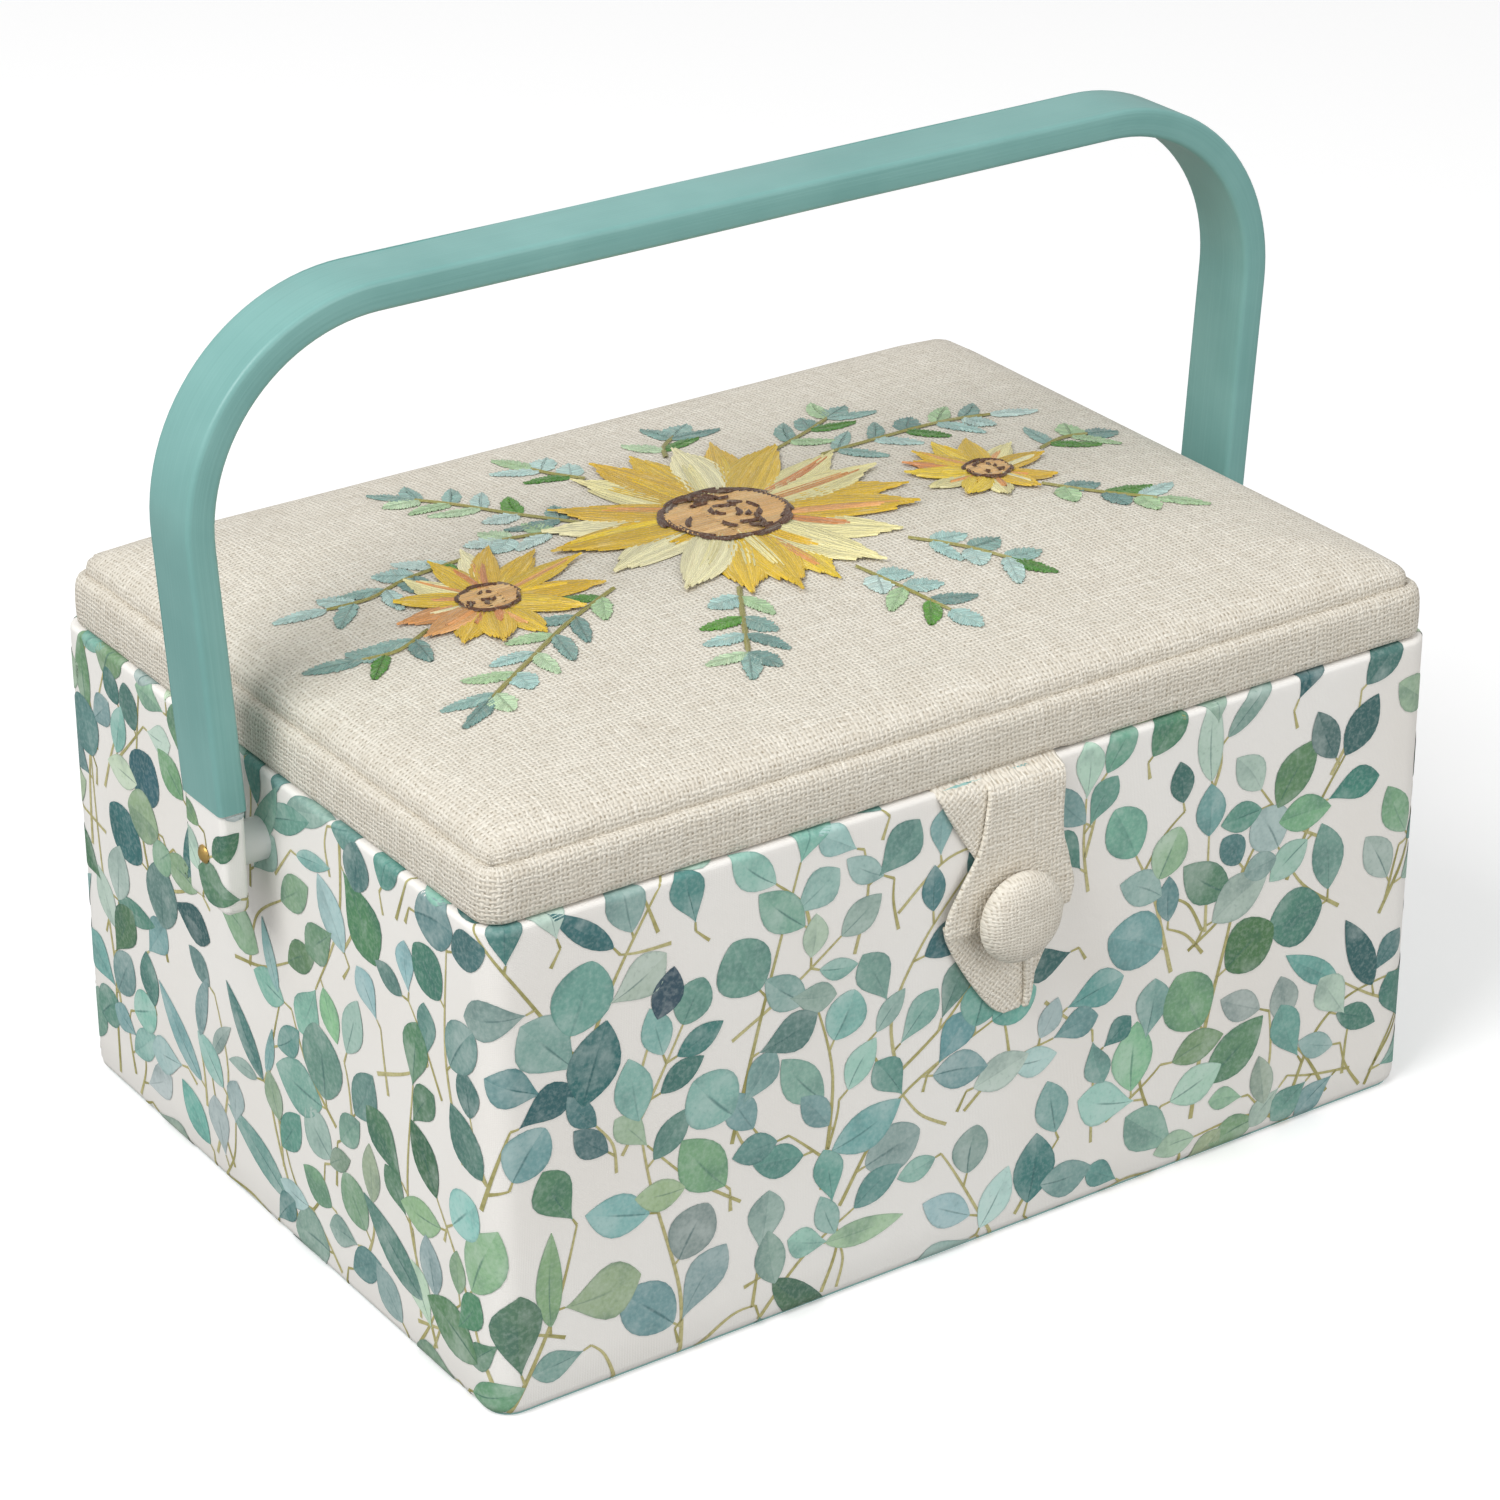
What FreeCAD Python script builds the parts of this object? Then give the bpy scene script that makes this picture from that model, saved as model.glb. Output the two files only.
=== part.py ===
"""Covered sewing box: a case, a padded lid, a swinging bow handle, a loop closure and two lift-out trays.

Millimetres, +Z up. X runs along the long side, -Y is the front with the button, and the origin is the
middle of the underside.
"""

import FreeCAD, Part
import math
import os
import re
import Sketcher

SIZES = [
    # case
    ("case_length", 260, "outside of the covered case, left to right"),
    ("case_width", 191, "outside of the covered case, front to back"),
    ("case_height", 120, "underside to rim"),
    ("case_corner", 7, "outer radius of the upright corners"),
    ("case_cloth", 1.5, "printed cloth with its wadding"),
    ("board", 3, "thickness of every board"),
    ("base_cloth_thick", 0.8, "cloth under the base"),
    ("lining_thick", 0.8, "lining cloth"),
    # lid
    ("lid_inset", 2.3, "lid outline inside the case outline, each side"),
    ("lid_gap", 0.4, "rim to lid"),
    ("lid_band_height", 12, "height of the linen band"),
    ("lid_cloth", 1, "linen with its backing"),
    ("pad_inset", 0.5, "pad inside the band, each side"),
    ("pad_height", 8, "padded top at its edge, above the band"),
    ("crown_height", 12.5, "padded top at its crown, above the band"),
    ("crown_inset", 15, "raised middle of the pad inside the pad's outline"),
    ("pad_round", 7.5, "radius of the pad's top edge"),
    ("cover_thick", 1, "linen over the pad"),
    # handle
    ("pivot_drop", 17.5, "handle pivots below the rim"),
    ("handle_rise", 127, "top of the bow above its pivots"),
    ("handle_wide", 18, "bow, front to back"),
    ("handle_thick", 7, "bow, thickness"),
    ("handle_stand", 14.4, "outer face of a leg at the foot's top, from the case's end"),
    ("handle_lean", 3.5, "outward lean of each leg, degrees"),
    ("handle_bend", 49, "outer radius of each bend"),
    ("handle_edge", 1.1, "rounding of the bow's long edges"),
    ("foot_drop", 12.5, "foot below and above its pivot"),
    ("foot_step", 0.5, "foot cover below the bow's surface"),
    ("foot_cloth", 0.6, "cloth round the foot"),
    ("side_gap", 0.3, "clearance between foot and bush"),
    # handle pivots
    ("pin_radius", 1.5, "handle pivot"),
    ("pin_head_radius", 2.2, "dome head of the pivot"),
    ("pin_head_rise", 1.2, "height of the dome head"),
    ("pin_play", 0.05, "running clearance on a pivot's radius"),
    ("rivet_radius", 4.5, "flat head inside the case"),
    ("bush_radius", 5, "spacer bush"),
    # lid hinges
    ("hinge_offset", 80, "middle of each hinge from the middle of the box"),
    ("hinge_length", 30, "case leaf, left to right"),
    ("lid_leaf_length", 40, "lid leaf, left to right"),
    ("barrel_length", 18, "three knuckles together"),
    ("leaf_thick", 1, "hinge leaf"),
    ("case_leaf_drop", 18, "case leaf below the rim"),
    ("knuckle_radius", 2.2, "hinge knuckle"),
    ("knuckle_play", 0.3, "gap between neighbouring knuckles"),
    ("knuckle_stand", 0.1, "knuckle off the case's back"),
    ("leaf_gap", 0.6, "case leaf below the rim, and lid leaf inside the band's edges"),
    ("hinge_pin_radius", 1, "hinge pin"),
    ("screw_radius", 0.9, "screw shank"),
    ("screw_head_radius", 2, "screw head"),
    ("screw_head_rise", 0.8, "screw head above its leaf"),
    ("screw_depth", 4, "screw below its leaf"),
    ("case_screw_spread", 9, "case screw from the middle of its hinge"),
    ("lid_screw_spread", 14.5, "lid screw from the middle of its hinge"),
    # closure
    ("button_x", 4, "button from the middle"),
    ("button_drop", 33, "button centre below the rim"),
    ("button_radius", 11, "covered button"),
    ("button_rise", 5.5, "rise of the dome"),
    ("button_thick", 7, "button, back to front"),
    ("dome_spread", 1.06, "a dome's ball, at its foot, over the foot's radius"),
    ("shank_radius", 1.5, "thread shank"),
    ("loop_gap", 0.5, "loop to case, and loop to button"),
    ("loop_thick", 3, "folded loop strip"),
    ("loop_drop", 60, "point of the loop below the rim"),
    ("loop_half_top", 15, "half width where the loop leaves the lid"),
    ("loop_half_wide", 18.5, "half width beside the button"),
    ("loop_tab", 6, "loop's end under the lid"),
    ("slot_half_wide", 3, "half width of the slot round the shank"),
    ("slot_half_high", 8, "half height of that slot"),
    # trays
    ("tray_height", 34, "tray, underside to rim"),
    ("tray_drop", 11, "tray rim below the lid"),
    ("tray_wall", 1.6, "tray walls and floor"),
    ("tray_gap", 1.2, "round each tray"),
    ("tray_corner", 4, "upright corners of a tray"),
    ("ledge_wide", 5, "tray ledge"),
    ("ledge_high", 8, "tray ledge"),
    # inside the lid
    ("cushion_length", 70, "pin cushion"),
    ("cushion_width", 50, "pin cushion"),
    ("cushion_thick", 11, "pin cushion"),
    ("cushion_round", 4, "edge of the pin cushion"),
    ("fitting_offset", 58, "pin cushion and pocket from the middle"),
    ("pocket_length", 96, "gathered pocket"),
    ("pocket_width", 62, "gathered pocket"),
    ("pocket_thick", 7, "gathered pocket"),
    ("pocket_cloth", 1, "wall of the gathered pocket"),
]
NAMES = {alias for alias, _, _ in SIZES}

doc = FreeCAD.newDocument("sewing_box")
sheet = doc.addObject("Spreadsheet::Sheet", "Sizes")
for row, (alias, number, note) in enumerate(SIZES, start=1):
    sheet.set(f"A{row}", note)
    sheet.set(f"B{row}", str(number))
    sheet.setAlias(f"B{row}", alias)
doc.recompute()

# planes that several pieces share, as formulas of the sheet's sizes
BOARD_X = "(case_length / 2 - case_cloth)"
BOARD_Y = "(case_width / 2 - case_cloth)"
BOARD_CORNER = "(case_corner - case_cloth)"
INSIDE_X = f"({BOARD_X} - board)"
INSIDE_Y = f"({BOARD_Y} - board)"
LINED_X = f"({INSIDE_X} - lining_thick)"
LINED_Y = f"({INSIDE_Y} - lining_thick)"
BOARD_TOP = "(case_height - case_cloth)"
FLOOR_TOP = "(base_cloth_thick + board)"
LINED_FLOOR = f"({FLOOR_TOP} + lining_thick)"
LID_X = "(case_length / 2 - lid_inset)"
LID_Y = "(case_width / 2 - lid_inset)"
LID_CORNER = "(case_corner - 1)"
RAIL_X = f"({LID_X} - lid_cloth)"
RAIL_Y = f"({LID_Y} - lid_cloth)"
RAIL_CORNER = f"({LID_CORNER} - lid_cloth)"
LID_LOW = "(case_height + lid_gap)"
RAIL_LOW = f"({LID_LOW} + lid_cloth)"
LID_HIGH = f"({LID_LOW} + lid_band_height)"
BOARD_LOW = f"({LID_HIGH} - board)"
LID_LINING_LOW = f"({BOARD_LOW} - lining_thick)"
HINGE_Y = "(case_width / 2 + knuckle_radius + knuckle_stand)"
HINGE_Z = f"({LID_LOW} + lid_band_height / 2)"
PIVOT_Z = "(case_height - pivot_drop)"
HANDLE_TOP = f"({PIVOT_Z} + handle_rise)"
HANDLE_REACH = "(case_length / 2 + handle_stand)"
FOOT_TOP = f"({PIVOT_Z} + foot_drop)"
FOOT_OUT = f"({HANDLE_REACH} - foot_step)"
FOOT_THICK = "(handle_thick - 2 * foot_step)"
FOOT_IN = f"({FOOT_OUT} - {FOOT_THICK})"
FOOT_WIDE = "(handle_wide - 2 * foot_step)"
TRAY_LOW = f"({LID_LOW} - tray_drop - tray_height)"
TRAY_LENGTH = f"({LINED_X} - 1.5 * tray_gap)"
TRAY_WIDTH = f"(2 * {LINED_Y} - 2 * tray_gap)"
BUTTON_Z = "(case_height - button_drop)"
LOOP_TIP = "(case_height - loop_drop)"
LOOP_BACK = "(-case_width / 2 - loop_gap)"
LOOP_FRONT = f"({LOOP_BACK} - loop_thick)"
SHANK_END = f"({LOOP_FRONT} - loop_gap)"

AXIS_TURN = {
    "x": FreeCAD.Rotation(FreeCAD.Vector(0, 1, 0), 90),
    "y": FreeCAD.Rotation(FreeCAD.Vector(1, 0, 0), -90),
    "-y": FreeCAD.Rotation(FreeCAD.Vector(1, 0, 0), 90),
    "z": FreeCAD.Rotation(),
}
nodes = []


def size(alias):
    """The number that a cell of the sheet holds."""
    return float(sheet.get(alias))


def tied(formula):
    """A formula in the sheet's words, as an expression."""
    return re.sub(r"[a-z_]+", lambda word: f"Sizes.{word[0]}" if word[0] in NAMES else word[0], str(formula))


def tie(thing, **formulas):
    """Bind properties to formulas; at_x, at_y and at_z stand for the place."""
    for key, formula in formulas.items():
        thing.setExpression(key.replace("at_", "Placement.Base."), tied(formula))
    return thing


def node(thing, label):
    """Name a finished sub-part."""
    thing.Label = label
    nodes.append(thing)
    return thing


def box(name, spans):
    """A block from three (low, high) pairs of formulas."""
    (x0, x1), (y0, y1), (z0, z1) = spans
    block = doc.addObject("Part::Box", name)
    tie(block, Length=f"{x1} - ({x0})", Width=f"{y1} - ({y0})", Height=f"{z1} - ({z0})")
    return tie(block, at_x=x0, at_y=y0, at_z=z0)


def middle_box(name, half_x, half_y, low, high):
    return box(name, ((f"-({half_x})", half_x), (f"-({half_y})", half_y), (low, high)))


def rod(name, axis, radius, length, place):
    """A cylinder that starts at place and runs along axis."""
    cylinder = doc.addObject("Part::Cylinder", name)
    cylinder.Placement = FreeCAD.Placement(FreeCAD.Vector(), AXIS_TURN[axis])
    tie(cylinder, Radius=radius, Height=length)
    return tie(cylinder, at_x=place[0], at_y=place[1], at_z=place[2])


def dome(name, axis, radius, rise, place, base="0"):
    """A disc of thickness base at place, with a cap of a sphere that rises from it along axis."""
    ball_radius = f"((({radius}) * dome_spread) ^ 2 + ({rise}) ^ 2) / (2 * ({rise}))"
    sign = -1 if axis.startswith("-") else 1
    centre = list(place)
    along = "xyz".index(axis[-1])
    centre[along] = f"{place[along]} + {sign} * (({base}) + ({rise}) - {ball_radius})"
    ball = doc.addObject("Part::Sphere", f"{name}_ball")
    tie(ball, Radius=ball_radius, at_x=centre[0], at_y=centre[1], at_z=centre[2])
    return common(name, rod(f"{name}_foot", axis, radius, f"({base}) + ({rise})", place), ball)


def combine(kind, name, first, *others):
    if kind == "fuse":
        result = doc.addObject("Part::MultiFuse", name)
        result.Shapes = [first, *others]
        result.Refine = True
        return result
    result = doc.addObject("Part::Cut" if kind == "cut" else "Part::Common", name)
    result.Base = first
    result.Tool = others[0] if len(others) == 1 else combine("fuse", f"{name}_tools", *others)
    return result


def cut(name, base, *tools):
    return combine("cut", name, base, *tools)


def common(name, first, second):
    return combine("common", name, first, second)


def fuse(name, *pieces):
    return combine("fuse", name, *pieces)


def mirrored(name, source):
    """The same piece on the other end of the box."""
    copy = doc.addObject("Part::Mirroring", name)
    copy.Source = source
    copy.Normal = FreeCAD.Vector(1, 0, 0)
    return copy


def origin_plane(body, role):
    return next(f for f in body.Origin.OriginFeatures if f.Role == role)


def new_sketch(body, name, role):
    sketch = body.newObject("Sketcher::SketchObject", name)
    sketch.AttachmentSupport = [(origin_plane(body, role), "")]
    sketch.MapMode = "FlatFace"
    return sketch


def dimension(sketch, label, formula, *constraint):
    """A named dimension that follows a formula."""
    number = sketch.addConstraint(Sketcher.Constraint(*constraint))
    sketch.renameConstraint(number, label)
    sketch.setExpression(f"Constraints.{label}", tied(formula))


def middle_rectangle(sketch, length, width):
    """A rectangle round the sketch's origin."""
    corners = [FreeCAD.Vector(x, y, 0) for x, y in ((-9, -6), (9, -6), (9, 6), (-9, 6))]
    for start, end in zip(corners, corners[1:] + corners[:1]):
        sketch.addGeometry(Part.LineSegment(start, end))
    for side in range(4):
        sketch.addConstraint(Sketcher.Constraint("Coincident", side, 2, (side + 1) % 4, 1))
        sketch.addConstraint(Sketcher.Constraint("Vertical" if side % 2 else "Horizontal", side))
    sketch.addConstraint(Sketcher.Constraint("Symmetric", 0, 1, 2, 1, -1, 1))
    dimension(sketch, "length", length, "DistanceX", 0, 1, 0, 2, 18)
    dimension(sketch, "width", width, "DistanceY", 1, 1, 1, 2, 12)


def edges_where(feature, test):
    return [f"Edge{n}" for n, edge in enumerate(feature.Shape.Edges, start=1) if test(edge)]


def upright(edge):
    bound = edge.BoundBox
    return bound.XLength < 1e-6 and bound.YLength < 1e-6


def fillet(body, base, name, radius, test):
    doc.recompute()
    rounding = body.newObject("PartDesign::Fillet", name)
    rounding.Base = (base, edges_where(base, test))
    tie(rounding, Radius=radius)
    return rounding


def rounded_block(name, half_x, half_y, corner, low, high):
    """A block round the middle with round upright corners."""
    body = doc.addObject("PartDesign::Body", name)
    sketch = new_sketch(body, f"{name}_outline", "XY_Plane")
    middle_rectangle(sketch, f"2 * {half_x}", f"2 * {half_y}")
    pad = body.newObject("PartDesign::Pad", f"{name}_pad")
    pad.Profile = sketch
    tie(pad, Length=f"{high} - ({low})")
    fillet(body, pad, f"{name}_corners", corner, upright)
    return tie(body, at_z=low)


def make_case():
    """Boards glued into an open box, covered in printed cloth and lined."""
    boards = rounded_block("board_outline", BOARD_X, BOARD_Y, BOARD_CORNER, "base_cloth_thick", BOARD_TOP)
    base = middle_box("base_block", BOARD_X, BOARD_Y, "base_cloth_thick", FLOOR_TOP)
    node(common("base_shape", base, boards), "base_board")

    low_boards = rounded_block("under_outline", BOARD_X, BOARD_Y, BOARD_CORNER, "0", "base_cloth_thick")
    node(low_boards, "base_cloth")

    shank_hole = rod("shank_hole", "y", "shank_radius", "case_width / 2",
                     ("button_x", SHANK_END, BUTTON_Z))
    front = box("front_block", ((f"-{INSIDE_X}", INSIDE_X), (f"-{BOARD_Y}", f"-{INSIDE_Y}"),
                                (FLOOR_TOP, BOARD_TOP)))
    node(cut("front_shape", common("front_round", front, boards), shank_hole), "front_board")

    back = box("back_block", ((f"-{INSIDE_X}", INSIDE_X), (INSIDE_Y, BOARD_Y), (FLOOR_TOP, BOARD_TOP)))
    node(cut("back_shape", common("back_round", back, boards), *case_screw_shanks), "back_board")

    pin_hole = rod("pin_hole", "x", "pin_radius", "case_length", ("-case_length / 2", "0", PIVOT_Z))
    right = box("right_block", ((INSIDE_X, BOARD_X), (f"-{BOARD_Y}", BOARD_Y), (FLOOR_TOP, BOARD_TOP)))
    right_shape = cut("right_shape", common("right_round", right, boards), pin_hole)
    node(right_shape, "right_board")
    node(mirrored("left_shape", right_shape), "left_board")

    outside = rounded_block("case_outline", "case_length / 2", "case_width / 2", "case_corner",
                            "0", "case_height")
    hollow = rounded_block("cover_hollow", BOARD_X, BOARD_Y, BOARD_CORNER, "-1", BOARD_TOP)
    mouth = middle_box("cover_mouth", INSIDE_X, INSIDE_Y, "0", "case_height + 1")
    node(cut("cover_shape", outside, hollow, mouth, shank_hole, pin_hole, *case_screw_shanks), "case_cover")

    rivet_room = rod("rivet_room", "x", "rivet_radius", "case_length",
                     ("-case_length / 2", "0", PIVOT_Z))
    lining_out = middle_box("lining_out", INSIDE_X, INSIDE_Y, LINED_FLOOR, BOARD_TOP)
    lining_in = middle_box("lining_in", LINED_X, LINED_Y, FLOOR_TOP, "case_height")
    node(cut("lining_shape", lining_out, lining_in, rivet_room), "wall_lining")
    node(middle_box("floor_shape", INSIDE_X, INSIDE_Y, FLOOR_TOP, LINED_FLOOR), "floor_lining")

    for side, near, far in (("front", f"-{LINED_Y}", f"-{LINED_Y} + ledge_wide"),
                            ("back", f"{LINED_Y} - ledge_wide", LINED_Y)):
        ledge = box(f"{side}_ledge_shape", ((f"-{LINED_X}", LINED_X), (near, far),
                                            (f"{TRAY_LOW} - ledge_high", TRAY_LOW)))
        node(ledge, f"{side}_tray_ledge")


def make_pivots():
    """A brass pin through each foot and side board, with a spacer bush between them."""
    start = f"{INSIDE_X} - lining_thick"
    shaft = rod("pin_shaft", "x", "pin_radius", f"{FOOT_OUT} + side_gap - ({start})",
                (start, "0", PIVOT_Z))
    head = dome("pin_head", "x", "pin_head_radius", "pin_head_rise",
                (f"{FOOT_OUT} + side_gap", "0", PIVOT_Z))
    rivet = rod("pin_rivet", "x", "rivet_radius", "lining_thick", (start, "0", PIVOT_Z))
    pin = fuse("right_pin_shape", shaft, head, rivet)
    node(pin, "right_pivot_pin")
    node(mirrored("left_pin_shape", pin), "left_pivot_pin")

    bush_length = f"{FOOT_IN} - side_gap - case_length / 2"
    outer = rod("bush_outer", "x", "bush_radius", bush_length, ("case_length / 2", "0", PIVOT_Z))
    bore = rod("bush_bore", "x", "pin_radius", bush_length, ("case_length / 2", "0", PIVOT_Z))
    bush = cut("right_bush_shape", outer, bore)
    node(bush, "right_spacer_bush")
    node(mirrored("left_bush_shape", bush), "left_spacer_bush")


def bow_outline(sketch):
    """The right half of the bow seen from the front, dimensioned from the box's origin."""
    bend, thick, lean = size("handle_bend"), size("handle_thick"), math.radians(size("handle_lean"))
    reach = size("case_length") / 2 + size("handle_stand")
    pivot = size("case_height") - size("pivot_drop")
    top, foot = pivot + size("handle_rise"), pivot + size("foot_drop")
    centre_z = top - bend
    drop = (centre_z - bend * math.sin(lean) - foot) / math.cos(lean)
    centre_x = reach - bend * math.cos(lean) + drop * math.sin(lean)

    def on_bend(radius, angle):
        return FreeCAD.Vector(centre_x + radius * math.cos(angle), centre_z + radius * math.sin(angle), 0)

    def foot_point(radius):
        start = on_bend(radius, -lean)
        return FreeCAD.Vector(start.x - (start.y - foot) * math.tan(lean), foot, 0)

    def bend_arc(radius):
        circle = Part.Circle(FreeCAD.Vector(centre_x, centre_z, 0), FreeCAD.Vector(0, 0, 1), radius)
        return Part.ArcOfCircle(circle, -lean, math.pi / 2)

    inner = bend - thick
    crossbar_top, outer_bend, outer_leg, foot_end, inner_leg, inner_bend, crossbar_under, middle = range(8)
    pieces = [
        Part.LineSegment(FreeCAD.Vector(0, top, 0), on_bend(bend, math.pi / 2)),
        bend_arc(bend),
        Part.LineSegment(on_bend(bend, -lean), foot_point(bend)),
        Part.LineSegment(foot_point(bend), foot_point(inner)),
        Part.LineSegment(foot_point(inner), on_bend(inner, -lean)),
        bend_arc(inner),
        Part.LineSegment(on_bend(inner, math.pi / 2), FreeCAD.Vector(0, top - thick, 0)),
        Part.LineSegment(FreeCAD.Vector(0, top - thick, 0), FreeCAD.Vector(0, top, 0)),
    ]
    for piece in pieces:
        sketch.addGeometry(piece)
    rules = [
        ("Tangent", crossbar_top, 2, outer_bend, 2),
        ("Tangent", outer_bend, 1, outer_leg, 1),
        ("Coincident", outer_leg, 2, foot_end, 1),
        ("Coincident", foot_end, 2, inner_leg, 1),
        ("Tangent", inner_leg, 2, inner_bend, 1),
        ("Tangent", inner_bend, 2, crossbar_under, 1),
        ("Coincident", crossbar_under, 2, middle, 1),
        ("Coincident", middle, 2, crossbar_top, 1),
        ("Horizontal", crossbar_top),
        ("Horizontal", crossbar_under),
        ("Horizontal", foot_end),
        ("PointOnObject", middle, 1, -2),
        ("PointOnObject", middle, 2, -2),
        ("Coincident", outer_bend, 3, inner_bend, 3),
        ("Parallel", outer_leg, inner_leg),
    ]
    for rule in rules:
        sketch.addConstraint(Sketcher.Constraint(*rule))
    dimension(sketch, "bend", "handle_bend", "Radius", outer_bend, bend)
    dimension(sketch, "thickness", "handle_thick", "DistanceY", middle, 1, middle, 2, thick)
    dimension(sketch, "top", HANDLE_TOP, "DistanceY", -1, 1, middle, 2, top)
    dimension(sketch, "reach", HANDLE_REACH, "DistanceX", -1, 1, outer_leg, 2, reach)
    dimension(sketch, "foot", FOOT_TOP, "DistanceY", -1, 1, outer_leg, 2, foot)
    dimension(sketch, "lean", "90 - handle_lean", "Angle", foot_end, 2, outer_leg, 2, math.pi / 2 - lean)


def make_handle():
    """A bent wooden bow; each end is a slimmer tenon inside a cloth-covered foot."""
    body = doc.addObject("PartDesign::Body", "bow")
    outline = new_sketch(body, "bow_outline", "XZ_Plane")
    bow_outline(outline)
    pad = body.newObject("PartDesign::Pad", "bow_pad")
    pad.Profile = outline
    pad.Midplane = True
    tie(pad, Length="handle_wide")
    mirror = body.newObject("PartDesign::Mirrored", "bow_mirror")
    mirror.Originals = [pad]
    mirror.MirrorPlane = (origin_plane(body, "YZ_Plane"), [""])
    body.Tip = mirror
    foot_z = size("case_height") - size("pivot_drop") + size("foot_drop")
    half_wide = size("handle_wide") / 2

    def long_edge(edge):
        bound = edge.BoundBox
        flat = bound.YLength < 1e-6 and abs(abs(bound.YMin) - half_wide) < 1e-6
        return flat and bound.ZMax > foot_z + 1e-3

    fillet(body, mirror, "bow_edges", "handle_edge", long_edge)

    skin_out, skin_in = f"({FOOT_OUT} - foot_cloth)", f"({FOOT_IN} + foot_cloth)"
    core_half = f"({FOOT_WIDE} / 2 - foot_cloth)"
    core_low = f"({PIVOT_Z} - foot_drop + foot_cloth)"
    tenon = box("tenon", ((skin_in, skin_out), (f"-{core_half}", core_half), (core_low, FOOT_TOP)))
    foot_bore = rod("foot_bore", "x", "pin_radius + pin_play", f"4 * {HANDLE_REACH}",
                    (f"-2 * {HANDLE_REACH}", "0", PIVOT_Z))
    whole = fuse("bow_whole", body, tenon, mirrored("left_tenon", tenon))
    node(cut("bow_shape", whole, foot_bore), "handle_bow")

    foot_half = f"({FOOT_WIDE} / 2)"
    block = box("foot_block", ((FOOT_IN, FOOT_OUT), (f"-{foot_half}", foot_half),
                               (f"{PIVOT_Z} - foot_drop", FOOT_TOP)))
    foot = cut("right_foot_shape", block, tenon, foot_bore)
    node(foot, "right_foot_cover")
    node(mirrored("left_foot_shape", foot), "left_foot_cover")


def barrel_span(side, share_low, share_high, play_low, play_high):
    """A stretch of one hinge's barrel, in shares of its length, with a gap where it meets another."""
    start = f"({side} * hinge_offset - barrel_length / 2)"
    low = f"({start} + {share_low} * barrel_length + {play_low} * knuckle_play)"
    high = f"({start} + {share_high} * barrel_length - {play_high} * knuckle_play)"
    return low, high


def knuckle(name, span, bore):
    """One knuckle and the cylinder that bores it."""
    low, high = span
    place = (low, HINGE_Y, HINGE_Z)
    barrel = rod(f"{name}_barrel", "x", "knuckle_radius", f"{high} - {low}", place)
    return barrel, rod(f"{name}_bore", "x", bore, f"{high} - {low}", place)


def make_screws(name, face, height, spread):
    """Two screws to a hinge, in from a leaf's back face; returns the heads and the shanks."""
    heads, shanks = [], []
    for side in (-1, 1):
        for way in (-1, 1):
            place = (f"{side} * hinge_offset + {way} * {spread}", face, height)
            tag = f"{name}_{'l' if side < 0 else 'r'}{'l' if way < 0 else 'r'}"
            shanks.append(rod(f"{tag}_shank", "-y", "screw_radius", "leaf_thick + screw_depth", place))
            heads.append(dome(f"{tag}_head", "y", "screw_head_radius", "screw_head_rise", place))
    return heads, shanks


def around(side, length):
    """A span of the given length round one hinge's middle."""
    return f"({side} * hinge_offset - {length} / 2)", f"({side} * hinge_offset + {length} / 2)"


def make_hinges():
    """Two hinges with their barrels behind the lid's band: the case leaves stand up and hold the pins."""
    case_leaves, lid_leaves, pins = [], [], []
    case_back = ("case_width / 2", "case_width / 2 + leaf_thick")
    for tag, side in (("left", -1), ("right", 1)):
        plate_top = "(case_height - leaf_gap)"
        plate = box(f"{tag}_case_plate", (around(side, "hinge_length"), case_back,
                                          ("case_height - case_leaf_drop", plate_top)))
        pieces, bores = [plate], []
        ends = {"low": barrel_span(side, 0, 0.3, 0, 1), "high": barrel_span(side, 0.7, 1, 1, 0)}
        for end, span in ends.items():
            barrel, bore = knuckle(f"{tag}_{end}", span, "hinge_pin_radius")
            neck = box(f"{tag}_{end}_neck", (span, case_back, (f"{plate_top} - leaf_thick", HINGE_Z)))
            pieces += [neck, barrel]
            bores.append(bore)
        case_leaves.append(cut(f"{tag}_case_leaf", fuse(f"{tag}_case_leaf_whole", *pieces), *bores))

        middle = barrel_span(side, 0.3, 0.7, 0, 0)
        lid_plate = box(f"{tag}_lid_plate", (around(side, "lid_leaf_length"),
                                             (LID_Y, f"{LID_Y} + leaf_thick"),
                                             (f"{LID_LOW} + leaf_gap", f"{LID_HIGH} - leaf_gap")))
        web = box(f"{tag}_lid_web", (middle, (LID_Y, HINGE_Y),
                                     (f"{HINGE_Z} - leaf_thick / 2", f"{HINGE_Z} + leaf_thick / 2")))
        barrel, bore = knuckle(f"{tag}_lid", middle, "hinge_pin_radius + pin_play")
        lid_leaves.append(cut(f"{tag}_lid_leaf", fuse(f"{tag}_lid_leaf_whole", lid_plate, web, barrel), bore))
        pins.append(rod(f"{tag}_pin", "x", "hinge_pin_radius", "barrel_length",
                        (around(side, "barrel_length")[0], HINGE_Y, HINGE_Z)))

    node(cut("case_leaves_shape", fuse("case_leaves_both", *case_leaves), *case_screw_shanks),
         "case_hinge_leaves")
    node(cut("lid_leaves_shape", fuse("lid_leaves_both", *lid_leaves), *lid_screw_shanks),
         "lid_hinge_leaves")
    node(fuse("hinge_pins_shape", *pins), "hinge_pins")
    node(fuse("case_screws_shape", *case_screw_heads, *case_screw_shanks), "case_hinge_screws")
    node(fuse("lid_screws_shape", *lid_screw_heads, *lid_screw_shanks), "lid_hinge_screws")


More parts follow.
